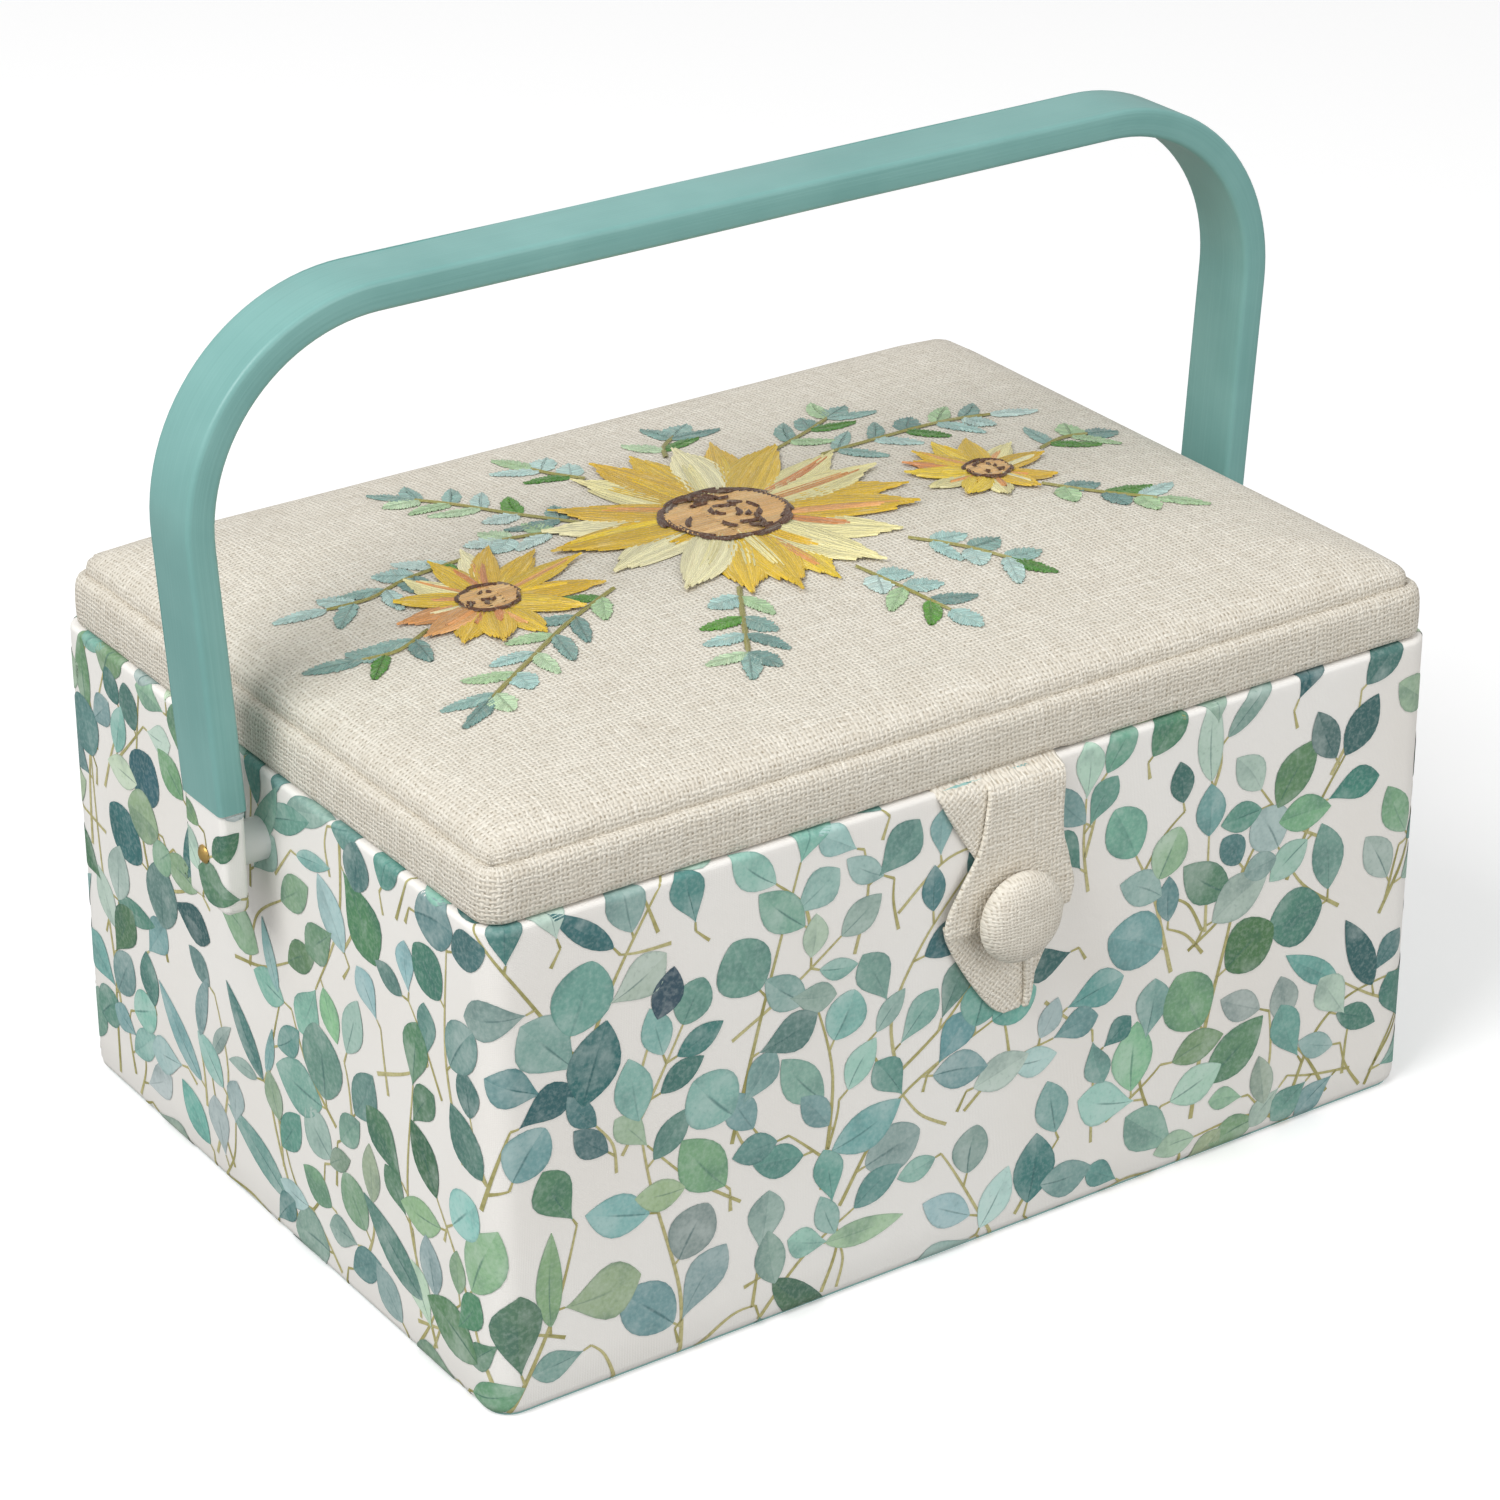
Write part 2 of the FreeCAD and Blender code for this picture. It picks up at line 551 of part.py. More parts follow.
def make_button():
    """A linen-covered dome on a thread shank that goes through cloth and board."""
    back = ("button_x", SHANK_END, BUTTON_Z)
    button = dome("button_shape", "-y", "button_radius", "button_rise", back,
                  "button_thick - button_rise")
    node(button, "button")
    shank = rod("shank_shape", "y", "shank_radius", f"-{INSIDE_Y} - ({SHANK_END})", back)
    node(shank, "button_shank")


def make_loop():
    """The closure loop, flat round the shank, with its sewn end turned in under the lid."""
    body = doc.addObject("PartDesign::Body", "loop_strap")
    outline = new_sketch(body, "loop_outline", "XZ_Plane")
    names = ["top_right", "wide_right", "tip", "wide_left", "top_left"]
    places = [(19, 120), (22, 88), (4, 60), (-14, 88), (-11, 120)]
    half = {"top_right": ("loop_half_top", 1), "wide_right": ("loop_half_wide", 1), "tip": ("0", 1),
            "wide_left": ("loop_half_wide", -1), "top_left": ("loop_half_top", -1)}
    height = {"top_right": "case_height + lid_gap / 2", "top_left": "case_height + lid_gap / 2",
              "wide_right": BUTTON_Z, "wide_left": BUTTON_Z, "tip": LOOP_TIP}
    corners = [FreeCAD.Vector(x, z, 0) for x, z in places]
    for start, end in zip(corners, corners[1:] + corners[:1]):
        outline.addGeometry(Part.LineSegment(start, end))
    for side in range(5):
        outline.addConstraint(Sketcher.Constraint("Coincident", side, 2, (side + 1) % 5, 1))
    for corner, name in enumerate(names):
        reach, sign = half[name]
        x, z = places[corner]
        if x > 0:
            dimension(outline, f"{name}_x", f"{reach} * {sign} + button_x", "DistanceX", -1, 1, corner, 1, x)
        else:
            dimension(outline, f"{name}_x", f"{reach} - button_x", "DistanceX", corner, 1, -1, 1, -x)
        dimension(outline, f"{name}_z", height[name], "DistanceY", -1, 1, corner, 1, z)
    pad = body.newObject("PartDesign::Pad", "loop_pad")
    pad.Profile = outline
    tie(pad, Length="loop_thick")
    body.Tip = pad
    tie(body, at_y=LOOP_BACK)

    tab_x = ("button_x - loop_half_top", "button_x + loop_half_top")
    tab = box("loop_tab_block", (tab_x, (LOOP_FRONT, f"-{RAIL_Y} + loop_tab"),
                                 ("case_height + lid_gap / 2", "case_height + lid_gap / 2 + loop_thick / 2")))
    slot = box("loop_slot", (("button_x - slot_half_wide", "button_x + slot_half_wide"),
                             (f"{LOOP_FRONT} - 1", f"{LOOP_BACK} + 1"),
                             (f"{BUTTON_Z} - slot_half_high", f"{BUTTON_Z} + slot_half_high")))
    node(cut("loop_shape", fuse("loop_whole", body, tab), slot), "closure_loop")


def make_lid():
    """A boarded tray lid: four rails under a board, a linen band, and a padded linen top."""
    outline = rounded_block("rail_outline", RAIL_X, RAIL_Y, RAIL_CORNER, RAIL_LOW, LID_HIGH)
    room_half = "(loop_half_top + loop_gap)"
    loop_room = box("loop_room", ((f"button_x - {room_half}", f"button_x + {room_half}"),
                                  ("-case_width", f"-{RAIL_Y} + loop_tab + loop_gap"),
                                  ("case_height", "case_height + lid_gap / 2 + loop_thick / 2 + loop_gap")))
    node(common("lid_board_shape", middle_box("lid_block", RAIL_X, RAIL_Y, BOARD_LOW, LID_HIGH), outline),
         "lid_board")
    in_x, in_y = f"({RAIL_X} - board)", f"({RAIL_Y} - board)"
    front = box("front_rail", ((f"-{in_x}", in_x), (f"-{RAIL_Y}", f"-{in_y}"), (RAIL_LOW, BOARD_LOW)))
    node(cut("front_rail_shape", common("front_rail_round", front, outline), loop_room), "lid_front_rail")
    back = box("back_rail", ((f"-{in_x}", in_x), (in_y, RAIL_Y), (RAIL_LOW, BOARD_LOW)))
    back_round = common("back_rail_round", back, outline)
    node(cut("back_rail_shape", back_round, *lid_screw_shanks), "lid_back_rail")
    right = box("right_rail", ((in_x, RAIL_X), (f"-{RAIL_Y}", RAIL_Y), (RAIL_LOW, BOARD_LOW)))
    right_shape = common("right_rail_shape", right, outline)
    node(right_shape, "lid_right_rail")
    node(mirrored("left_rail_shape", right_shape), "lid_left_rail")

    band_out = rounded_block("band_out", LID_X, LID_Y, LID_CORNER, LID_LOW, LID_HIGH)
    band_in = rounded_block("band_in", RAIL_X, RAIL_Y, RAIL_CORNER, RAIL_LOW, f"{LID_HIGH} + 1")
    band_mouth = middle_box("band_mouth", in_x, in_y, f"{LID_LOW} - 1", LID_HIGH)
    node(cut("band_shape", band_out, band_in, band_mouth, loop_room, *lid_screw_shanks), "lid_band")

    lining = middle_box("lid_lining_shape", in_x, in_y, LID_LINING_LOW, BOARD_LOW)
    node(lining, "lid_lining")
    make_pad()
    make_lid_fittings()


def pad_block(name, inset, top):
    """A block on the lid board with round upright corners and a rolled top edge."""
    body = rounded_block(name, f"({LID_X} - {inset})", f"({LID_Y} - {inset})", LID_CORNER, LID_HIGH, top)
    doc.recompute()
    corners = body.Tip
    high = corners.Shape.BoundBox.ZMax

    def top_edge(edge):
        return edge.BoundBox.ZMin > high - 1e-6

    body.Tip = fillet(body, corners, f"{name}_roll", "pad_round - cover_thick", top_edge)
    return body


def make_pad():
    """Foam that rises in two soft steps to its crown, and the linen over it."""
    inner = "(pad_inset + cover_thick)"
    edge_top, crown_top = f"({LID_HIGH} + pad_height)", f"({LID_HIGH} + crown_height)"
    foam = fuse("foam", pad_block("foam_edge", inner, f"({edge_top} - cover_thick)"),
                pad_block("foam_crown", f"({inner} + crown_inset)", f"({crown_top} - cover_thick)"))
    node(foam, "lid_pad")
    skin = fuse("cover_whole", pad_block("cover_edge", "pad_inset", edge_top),
                pad_block("cover_crown", "(pad_inset + crown_inset)", crown_top))
    node(cut("cover_skin", skin, foam), "lid_cover")


def make_lid_fittings():
    """A pin cushion and a gathered pocket sewn to the lid's lining."""
    cushion = doc.addObject("PartDesign::Body", "cushion_body")
    sketch = new_sketch(cushion, "cushion_outline", "XY_Plane")
    middle_rectangle(sketch, "cushion_length", "cushion_width")
    pad = cushion.newObject("PartDesign::Pad", "cushion_pad")
    pad.Profile = sketch
    tie(pad, Length="cushion_thick")
    soft = fillet(cushion, pad, "cushion_soft", "cushion_round", lambda edge: edge.BoundBox.ZMax < 1e-6)
    cushion.Tip = soft
    tie(cushion, at_x="-fitting_offset", at_z=f"{LID_LINING_LOW} - cushion_thick")
    node(cushion, "pin_cushion")

    x_low, x_high = "(fitting_offset - pocket_length / 2)", "(fitting_offset + pocket_length / 2)"
    y_low, y_high = "(-pocket_width / 2)", "(pocket_width / 2)"
    z_low = f"({LID_LINING_LOW} - pocket_thick)"
    outer = box("pocket_outer", ((x_low, x_high), (y_low, y_high), (z_low, LID_LINING_LOW)))
    inner = box("pocket_inner", ((f"{x_low} + pocket_cloth", f"{x_high} - pocket_cloth"),
                                 (f"{y_low} - 1", f"{y_high} - pocket_cloth"),
                                 (f"{z_low} + pocket_cloth", f"{LID_LINING_LOW} - pocket_cloth")))
    node(cut("pocket_shape", outer, inner), "lid_pocket")


def make_tray(label, side, splits):
    """A moulded tray; splits are compartments as (low, high) shares of its inside, along X and along Y."""
    low_x = "(0.5 * tray_gap)" if side > 0 else f"(-0.5 * tray_gap - {TRAY_LENGTH})"
    low_y = f"(-{TRAY_WIDTH} / 2)"
    body = doc.addObject("PartDesign::Body", f"{label}_body")
    sketch = new_sketch(body, f"{label}_outline", "XY_Plane")
    middle_rectangle(sketch, TRAY_LENGTH, TRAY_WIDTH)
    pad = body.newObject("PartDesign::Pad", f"{label}_pad")
    pad.Profile = sketch
    tie(pad, Length="tray_height")
    fillet(body, pad, f"{label}_corners", "tray_corner", upright)
    tie(body, at_x=f"{low_x} + {TRAY_LENGTH} / 2", at_z=TRAY_LOW)

    room_x, room_y = f"({TRAY_LENGTH} - tray_wall)", f"({TRAY_WIDTH} - tray_wall)"
    rooms = []
    for number, ((x0, x1), (y0, y1)) in enumerate(splits, start=1):
        spans = ((f"{low_x} + tray_wall + {x0} * {room_x}", f"{low_x} + {x1} * {room_x}"),
                 (f"{low_y} + tray_wall + {y0} * {room_y}", f"{low_y} + {y1} * {room_y}"),
                 (f"{TRAY_LOW} + tray_wall", f"{TRAY_LOW} + tray_height + 1"))
        rooms.append(box(f"{label}_room_{number}", spans))
    node(cut(f"{label}_shape", body, *rooms), label)


def write_parts():
    """Stop on any failed object or shape, then write one STEP file to a sub-part."""
    doc.recompute()
    for thing in doc.Objects:
        if {"Invalid", "Error"} & set(thing.State):
            raise RuntimeError(f"{thing.Label} failed: {thing.State}")
    os.makedirs("parts", exist_ok=True)
    for thing in nodes:
        shape = thing.Shape
        if shape.isNull() or not shape.isValid() or not shape.Solids:
            raise RuntimeError(f"{thing.Label} has no valid solid")
        shape.exportStep(f"parts/{thing.Label}.step")
    print(f"{len(nodes)} sub-parts written")


case_screw_heads, case_screw_shanks = make_screws(
    "case_screw", "case_width / 2 + leaf_thick", "case_height - case_leaf_drop / 2", "case_screw_spread")
lid_screw_heads, lid_screw_shanks = make_screws(
    "lid_screw", f"{LID_Y} + leaf_thick", HINGE_Z, "lid_screw_spread")
make_case()
make_pivots()
make_handle()
make_hinges()
make_button()
make_loop()
make_lid()
make_tray("left_tray", -1, [((0, 0.45), (0, 1)), ((0.45, 1), (0, 0.5)), ((0.45, 1), (0.5, 1))])
make_tray("right_tray", 1, [((0, 0.5), (0, 0.5)), ((0, 0.5), (0.5, 1)),
                            ((0.5, 1), (0, 0.5)), ((0.5, 1), (0.5, 1))])
write_parts()
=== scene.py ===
import math
import random

import bmesh
import bpy
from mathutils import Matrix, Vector, noise
from mathutils.bvhtree import BVHTree


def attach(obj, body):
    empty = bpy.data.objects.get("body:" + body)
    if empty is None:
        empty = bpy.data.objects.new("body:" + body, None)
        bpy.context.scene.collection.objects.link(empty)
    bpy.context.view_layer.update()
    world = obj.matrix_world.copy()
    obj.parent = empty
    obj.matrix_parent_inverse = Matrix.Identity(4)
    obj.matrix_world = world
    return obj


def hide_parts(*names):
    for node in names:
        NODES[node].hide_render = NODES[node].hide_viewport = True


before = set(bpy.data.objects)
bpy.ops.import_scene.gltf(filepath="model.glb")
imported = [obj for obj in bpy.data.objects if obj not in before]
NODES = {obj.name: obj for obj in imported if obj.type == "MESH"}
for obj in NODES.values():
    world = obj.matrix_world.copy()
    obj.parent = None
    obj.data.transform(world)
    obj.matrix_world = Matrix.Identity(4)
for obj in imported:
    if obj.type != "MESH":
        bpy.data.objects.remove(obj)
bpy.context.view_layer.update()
MM = 0.001

# upright walls: half length, half width, corner radius, rounding at the foot, middle in x, base in z
CASE = (130.0, 95.5, 7.0, 3.0, 0.0, 0.0)
LID = (128.7, 94.2, 6.0, 0.0, 0.0, 0.0)
FOOT_RIGHT = (3.1, 8.6, 1.6, 1.5, 140.9, 90.0)
FOOT_LEFT = (3.1, 8.6, 1.6, 1.5, -140.9, 90.0)
RIM_START, RIM_ROUND = 118.8, 1.2
SLACK_TOP, SLACK_FADE = 118, 12
BUTTON_X, BUTTON_Z, BUTTON_RADIUS = 4, 87, 11
TUFT_X = -58
CAMERA_PLACE, CAMERA_AIM = (-0.5481, -0.7990, 0.5664), (0.5081, 0.7386, -0.4430)


# ---------------------------------------------------------------- modelling by hand

def nothing_selected():
    if bpy.context.object and bpy.context.object.mode != "OBJECT":
        bpy.ops.object.mode_set(mode="OBJECT")
    bpy.ops.object.select_all(action="DESELECT")


def only(obj):
    nothing_selected()
    obj.select_set(True)
    bpy.context.view_layer.objects.active = obj


def at_home(obj, name):
    """Names a piece and leaves its place in its mesh, with the object at the origin."""
    only(obj)
    bpy.ops.object.transform_apply(location=True, rotation=True, scale=True)
    obj.name = name
    obj.data.name = name
    return obj


def block(name, low, high):
    """A box between two corners, in millimetres, to be shaped further."""
    nothing_selected()
    middle = [(a + b) / 2 * MM for a, b in zip(low, high)]
    bpy.ops.mesh.primitive_cube_add(size=1, location=middle)
    obj = bpy.context.object
    obj.scale = [(b - a) * MM for a, b in zip(low, high)]
    return at_home(obj, name)


def sheet_of_cloth(name, columns, rows):
    """A flat grid of columns x rows cells with a UV map, to be laid out point by point."""
    nothing_selected()
    bpy.ops.mesh.primitive_grid_add(x_subdivisions=columns, y_subdivisions=rows, size=2)
    return at_home(bpy.context.object, name)


def lay_out(obj, columns, rows, place):
    """Moves every grid point to place(column, row), which gives x, y, z and the cloth's own u, v in mm."""
    cloth = {}
    for vertex in obj.data.vertices:
        column = round((vertex.co.x + 1) / 2 * columns)
        row = round((vertex.co.y + 1) / 2 * rows)
        (x, y, z), cloth[vertex.index] = place(column, row)
        vertex.co = (x * MM, y * MM, z * MM)
    uv = obj.data.uv_layers[0].data
    for loop in obj.data.loops:
        uv[loop.index].uv = cloth[loop.vertex_index]
    obj.data.update()


def pick(obj, kind, test):
    """Goes into edit mode with only the vertices, edges or faces that pass the test selected."""
    only(obj)
    bpy.ops.object.mode_set(mode="EDIT")
    bpy.ops.mesh.select_mode(type=kind)
    bpy.ops.mesh.select_all(action="DESELECT")
    mesh = bmesh.from_edit_mesh(obj.data)
    mesh.normal_update()
    for part in {"VERT": mesh.verts, "EDGE": mesh.edges, "FACE": mesh.faces}[kind]:
        part.select_set(bool(test(part)))
    bmesh.update_edit_mesh(obj.data)


def leave_edit():
    bpy.ops.object.mode_set(mode="OBJECT")


def middle_of(part):
    """The middle of an edge or face, in millimetres."""
    points = [v.co for v in part.verts]
    return sum(points, Vector()) / len(points) / MM


def outward(obj, merge=0.02):
    """Closes seams and turns every face outwards."""
    pick(obj, "VERT", lambda v: True)
    bpy.ops.mesh.remove_doubles(threshold=merge * MM)
    bpy.ops.mesh.normals_make_consistent(inside=False)
    leave_edit()


def face_down(obj, axis):
    """Turns the faces of an open sheet towards the negative side of an axis (0, 1 or 2)."""
    pick(obj, "FACE", lambda f: True)
    bpy.ops.mesh.normals_make_consistent(inside=False)
    leave_edit()
    if sum(f.normal[axis] for f in obj.data.polygons) > 0:
        pick(obj, "FACE", lambda f: True)
        bpy.ops.mesh.flip_normals()
        leave_edit()


def close_ends(obj):
    """Puts a face over every open end."""
    pick(obj, "EDGE", lambda e: e.is_boundary)
    bpy.ops.mesh.edge_face_add()
    leave_edit()


def bevel(obj, test, offset, segments):
    """Rounds the edges that pass the test; offset is in millimetres."""
    pick(obj, "EDGE", test)
    bpy.ops.mesh.bevel(offset=offset * MM, segments=segments, affect="EDGES")
    leave_edit()


def ball(name, radius, segments, rings, turned=(0, 0, 0)):
    nothing_selected()
    bpy.ops.mesh.primitive_uv_sphere_add(segments=segments, ring_count=rings, radius=radius * MM,
                                         rotation=turned, location=(0, 0, 0))
    return at_home(bpy.context.object, name)


def smooth(obj, degrees=40):
    only(obj)
    bpy.ops.object.shade_smooth_by_angle(angle=math.radians(degrees))


def apply_modifier(obj, kind, **values):
    only(obj)
    modifier = obj.modifiers.new(kind.lower(), kind)
    for key, value in values.items():
        setattr(modifier, key, value)
    bpy.ops.object.modifier_apply(modifier=modifier.name)


def thicken(obj, thick, offset=-1.0):
    apply_modifier(obj, "SOLIDIFY", thickness=thick * MM, offset=offset, use_rim=True)


def subdivide(obj, levels=1):
    apply_modifier(obj, "SUBSURF", levels=levels, render_levels=levels)


def join(parts, name):
    only(parts[0])
    for part in parts[1:]:
        part.select_set(True)
    bpy.ops.object.join()
    bpy.context.object.name = name
    bpy.context.object.data.name = name
    return bpy.context.object


def put(obj, material, body, stands_for=()):
    """Gives a finished piece its material and its body, and hides the CAD nodes that it stands for."""
    if material:
        obj.data.materials.clear()
        obj.data.materials.append(material)
    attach(obj, body)
    if stands_for:
        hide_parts(*stands_for)
    return obj


def tint(obj, rgba):
    """Writes one colour for the whole piece in its tint attribute; alpha is its own number for variation."""
    layer = obj.data.color_attributes.new("tint", "FLOAT_COLOR", "POINT")
    layer.data.foreach_set("color", list(rgba) * len(obj.data.vertices))


# ---------------------------------------------------------------- walls that cloth is wrapped on

def round_the_wall(s, wall):
    """Place and outward direction at s millimetres round a wall from the middle of its front."""
    half_x, half_y, corner, _, centre_x, _ = wall
    run_x, run_y, arc = half_x - corner, half_y - corner, corner * math.pi / 2
    s %= 4 * (run_x + run_y + arc)
    x, y, heading = centre_x, -half_y, 0.0
    for length, turns in ((run_x, 0), (arc, 1), (2 * run_y, 0), (arc, 1), (2 * run_x, 0),
                          (arc, 1), (2 * run_y, 0), (arc, 1), (run_x, 0)):
        step = min(s, length)
        if turns:
            angle = step / corner
            x += corner * (math.sin(heading + angle) - math.sin(heading))
            y -= corner * (math.cos(heading + angle) - math.cos(heading))
            heading += angle
        else:
            x += step * math.cos(heading)
            y += step * math.sin(heading)
        s -= step
        if s <= 1e-9:
            break
    return x, y, math.sin(heading), -math.cos(heading)


def slack(x, y, z):
    """How far the case cloth stands off its board, in millimetres."""
    return 0.22 * noise.noise(Vector((x / 46, y / 46, z / 37)))


def on_wall(s, z, lift, wall, wavy=True):
    """The place on a wall at s round it and z up it, lift millimetres proud, following the rounded foot."""
    x, y, nx, ny = round_the_wall(s, wall)
    base, foot = wall[5], wall[3]
    out, drop = 0.0, 0.0
    if wall is CASE and z > RIM_START:
        # over the rounded rim and in across the board's top
        over = z - RIM_START
        angle = min(over / RIM_ROUND, math.pi / 2)
        inwards = RIM_ROUND * (1 - math.cos(angle)) + max(0.0, over - RIM_ROUND * math.pi / 2)
        sideways = lift * math.cos(angle) - inwards
        return x + nx * sideways, y + ny * sideways, RIM_START + (RIM_ROUND + lift) * math.sin(angle)
    if z < base + foot:
        sine = min(1.0, (base + foot - z) / foot)
        out = foot * (math.sqrt(1 - sine * sine) - 1)
        drop = lift * sine
        lift *= math.sqrt(1 - sine * sine)
    if wavy:
        lift += (slack(x, y, z) * min(1.0, max(0.0, (z - base) / SLACK_FADE))
                 * min(1.0, max(0.0, (SLACK_TOP - z) / SLACK_FADE)))
    return x + nx * (lift + out), y + ny * (lift + out), z - drop


def stops_round(wall, spacing):
    """Where the columns of a strip stand: evenly along the runs, close together round the corners.

    They go from the middle of the back, past the front, to the middle of the back again.
    """
    half_x, half_y, corner = wall[:3]
    run_x, run_y, arc = half_x - corner, half_y - corner, corner * math.pi / 2
    stops = [0.0]
    for length, turns in ((run_x, 0), (arc, 1), (2 * run_y, 0), (arc, 1), (run_x, 0)):
        count = 8 if turns else max(1, round(length / spacing))
        stops += [stops[-1] + length * (i + 1) / count for i in range(count)]
    return [-stop for stop in reversed(stops)] + stops[1:]


def rounded_foot(wall):
    """The profile round the lower edge of a wall."""
    base, foot = wall[5], wall[3]
    return [(base + foot - foot * math.cos(math.radians(a)), foot * (math.sin(math.radians(a)) - 1))
            for a in (0, 30, 60)]


def strip_round(name, wall, profile, spacing, place):
    """A strip of cloth right round a wall; profile lists (z, lift) from its lower edge to its upper."""
    stops = stops_round(wall, spacing)
    rise = [0.0]
    for (z0, l0), (z1, l1) in zip(profile, profile[1:]):
        rise.append(rise[-1] + math.hypot(z1 - z0, l1 - l0))
    strip = sheet_of_cloth(name, len(stops) - 1, len(profile) - 1)
    lay_out(strip, len(stops) - 1, len(profile) - 1,
            lambda c, r: (place(stops[c], *profile[r], wall), (stops[c], rise[r])))
    outward(strip)
    return strip


# ---------------------------------------------------------------- materials

def colour(red, green, blue, alpha=1.0):
    """A colour from its 0 to 255 values."""
    def linear(value):
        value /= 255
        return value / 12.92 if value <= 0.04045 else ((value + 0.055) / 1.055) ** 2.4
    return linear(red), linear(green), linear(blue), alpha


class Wiring:
    """Lays nodes in a material or a group and joins them up."""

    def __init__(self, tree):
        self.tree = tree

    def node(self, kind, **settings):
        made = self.tree.nodes.new(kind)
        for key, value in settings.items():
            setattr(made, key, value)
        return made

    def link(self, source, target):
        self.tree.links.new(source, target)

    def feed(self, socket, value):
        if isinstance(value, bpy.types.NodeSocket):
            self.link(value, socket)
        elif value is not None:
            socket.default_value = value

    def math(self, operation, a, b=None, c=None):
        made = self.node("ShaderNodeMath", operation=operation)
        for socket, value in zip(made.inputs, (a, b, c)):
            self.feed(socket, value)
        return made.outputs[0]

    def times(self, a, b):
        return self.math("MULTIPLY", a, b)

    def noise(self, vector, scale, detail=2.0, roughness=0.5):
        made = self.node("ShaderNodeTexNoise")
        self.feed(made.inputs["Vector"], vector)
        made.inputs["Scale"].default_value = scale
        made.inputs["Detail"].default_value = detail
        made.inputs["Roughness"].default_value = roughness
        return made.outputs["Fac"]

    def ramp(self, value, low, high, to_low=0.0, to_high=1.0):
        made = self.node("ShaderNodeMapRange")
        for socket, number in zip(made.inputs, (value, low, high, to_low, to_high)):
            self.feed(socket, number)
        return made.outputs[0]

    def mix(self, factor, a, b):
        made = self.node("ShaderNodeMix", data_type="RGBA")
        self.feed(made.inputs["Factor"], factor)
        self.feed(made.inputs["A"], a)
        self.feed(made.inputs["B"], b)
        return made.outputs["Result"]

    def blend_numbers(self, factor, a, b):
        made = self.node("ShaderNodeMix", data_type="FLOAT")
        for socket, value in zip(made.inputs[:4], (factor, None, a, b)):
            self.feed(socket, value)
        return made.outputs["Result"]

    def point(self, x, y, z=0.0):
        made = self.node("ShaderNodeCombineXYZ")
        for socket, value in zip(made.inputs, (x, y, z)):
            self.feed(socket, value)
        return made.outputs[0]

    def split(self, vector):
        made = self.node("ShaderNodeSeparateXYZ")
        self.feed(made.inputs[0], vector)
        return made.outputs

    def place(self, which="Object", scale=(1, 1, 1)):
        made = self.node("ShaderNodeMapping")
        self.link(self.node("ShaderNodeTexCoord").outputs[which], made.inputs["Vector"])
        made.inputs["Scale"].default_value = scale
        return made.outputs[0]

    def bump(self, height, strength, distance):
        made = self.node("ShaderNodeBump")
        self.feed(made.inputs["Height"], height)
        made.inputs["Strength"].default_value = strength
        made.inputs["Distance"].default_value = distance
        return made.outputs[0]

    def use(self, group, **values):
        made = self.node("ShaderNodeGroup", node_tree=group)
        for key, value in values.items():
            self.feed(made.inputs[key.replace("_", " ")], value)
        return made.outputs


NUMBER, VECTOR = "NodeSocketFloat", "NodeSocketVector"


def new_group(name, inputs, outputs):
    group = bpy.data.node_groups.new(name, "ShaderNodeTree")
    for label, kind in inputs:
        group.interface.new_socket(label, in_out="INPUT", socket_type=kind)
    for label, kind in outputs:
        group.interface.new_socket(label, in_out="OUTPUT", socket_type=kind)
    wires = Wiring(group)
    return group, wires, wires.node("NodeGroupInput").outputs, wires.node("NodeGroupOutput").inputs


def make_weave():
    """Plain weave: every other crossing goes over. Vector is in millimetres of cloth."""
    group, w, given, gives = new_group(
        "plain_weave", [("Vector", VECTOR), ("Pitch", NUMBER), ("Wobble", NUMBER)],
        [("Height", NUMBER), ("Tone", NUMBER), ("Shaded_hole", NUMBER)])
    x, y, _ = w.split(given["Vector"])

    def sway(vector):
        return w.times(w.math("SUBTRACT", w.noise(vector, 0.16, 3, 0.6), 0.5), given["Wobble"])

    bend_x = sway(given["Vector"])
    bend_y = sway(w.point(y, x, 7.0))
    u = w.math("DIVIDE", w.math("ADD", x, bend_x), given["Pitch"])
    v = w.math("DIVIDE", w.math("ADD", y, bend_y), given["Pitch"])
    ends = w.math("ROUND", u)
    picks = w.math("ROUND", v)

    def thread(across, along, number_of, shift):
        """Height of one set of threads: round across, rising and dipping along."""
        body = w.math("COSINE", w.times(across, 2 * math.pi))
        wave = w.math("COSINE", w.math("MULTIPLY_ADD", w.math("ADD", along, number_of), math.pi, shift))
        return w.times(w.math("MULTIPLY_ADD", body, 0.5, 0.5), w.math("MULTIPLY_ADD", wave, 0.4, 0.6))

    warp = thread(u, v, ends, 0.0)
    weft = thread(v, u, picks, math.pi)
    # each thread has thick and thin stretches and its own tone
    warp_tone = w.noise(w.point(w.times(ends, 3.7), w.times(v, 0.09)), 1.0, 3, 0.7)
    weft_tone = w.noise(w.point(w.times(u, 0.09), w.times(picks, 4.3), 5.0), 1.0, 3, 0.7)
    over = w.math("GREATER_THAN", warp, weft)
    tone = w.blend_numbers(over, weft_tone, warp_tone)
    warp_high = w.times(warp, w.ramp(warp_tone, 0.3, 0.7, 0.72, 1.15))
    weft_high = w.times(weft, w.ramp(weft_tone, 0.3, 0.7, 0.72, 1.15))
    height = w.math("MAXIMUM", warp_high, weft_high)
    w.link(height, gives["Height"])
    w.link(tone, gives["Tone"])
    # some crossings are pulled open and others have closed up; where they are open, the low gaps between
    # threads give the mask for painted shade in the holes
    open_here = w.ramp(w.noise(w.point(w.times(u, 0.7), w.times(v, 0.7), 3.0), 1.0, 3, 0.7),
                       0.38, 0.62, 0.25, 1.0)
    w.link(w.times(w.ramp(height, 0.34, 0.12), open_here), gives["Shaded_hole"])
    return group


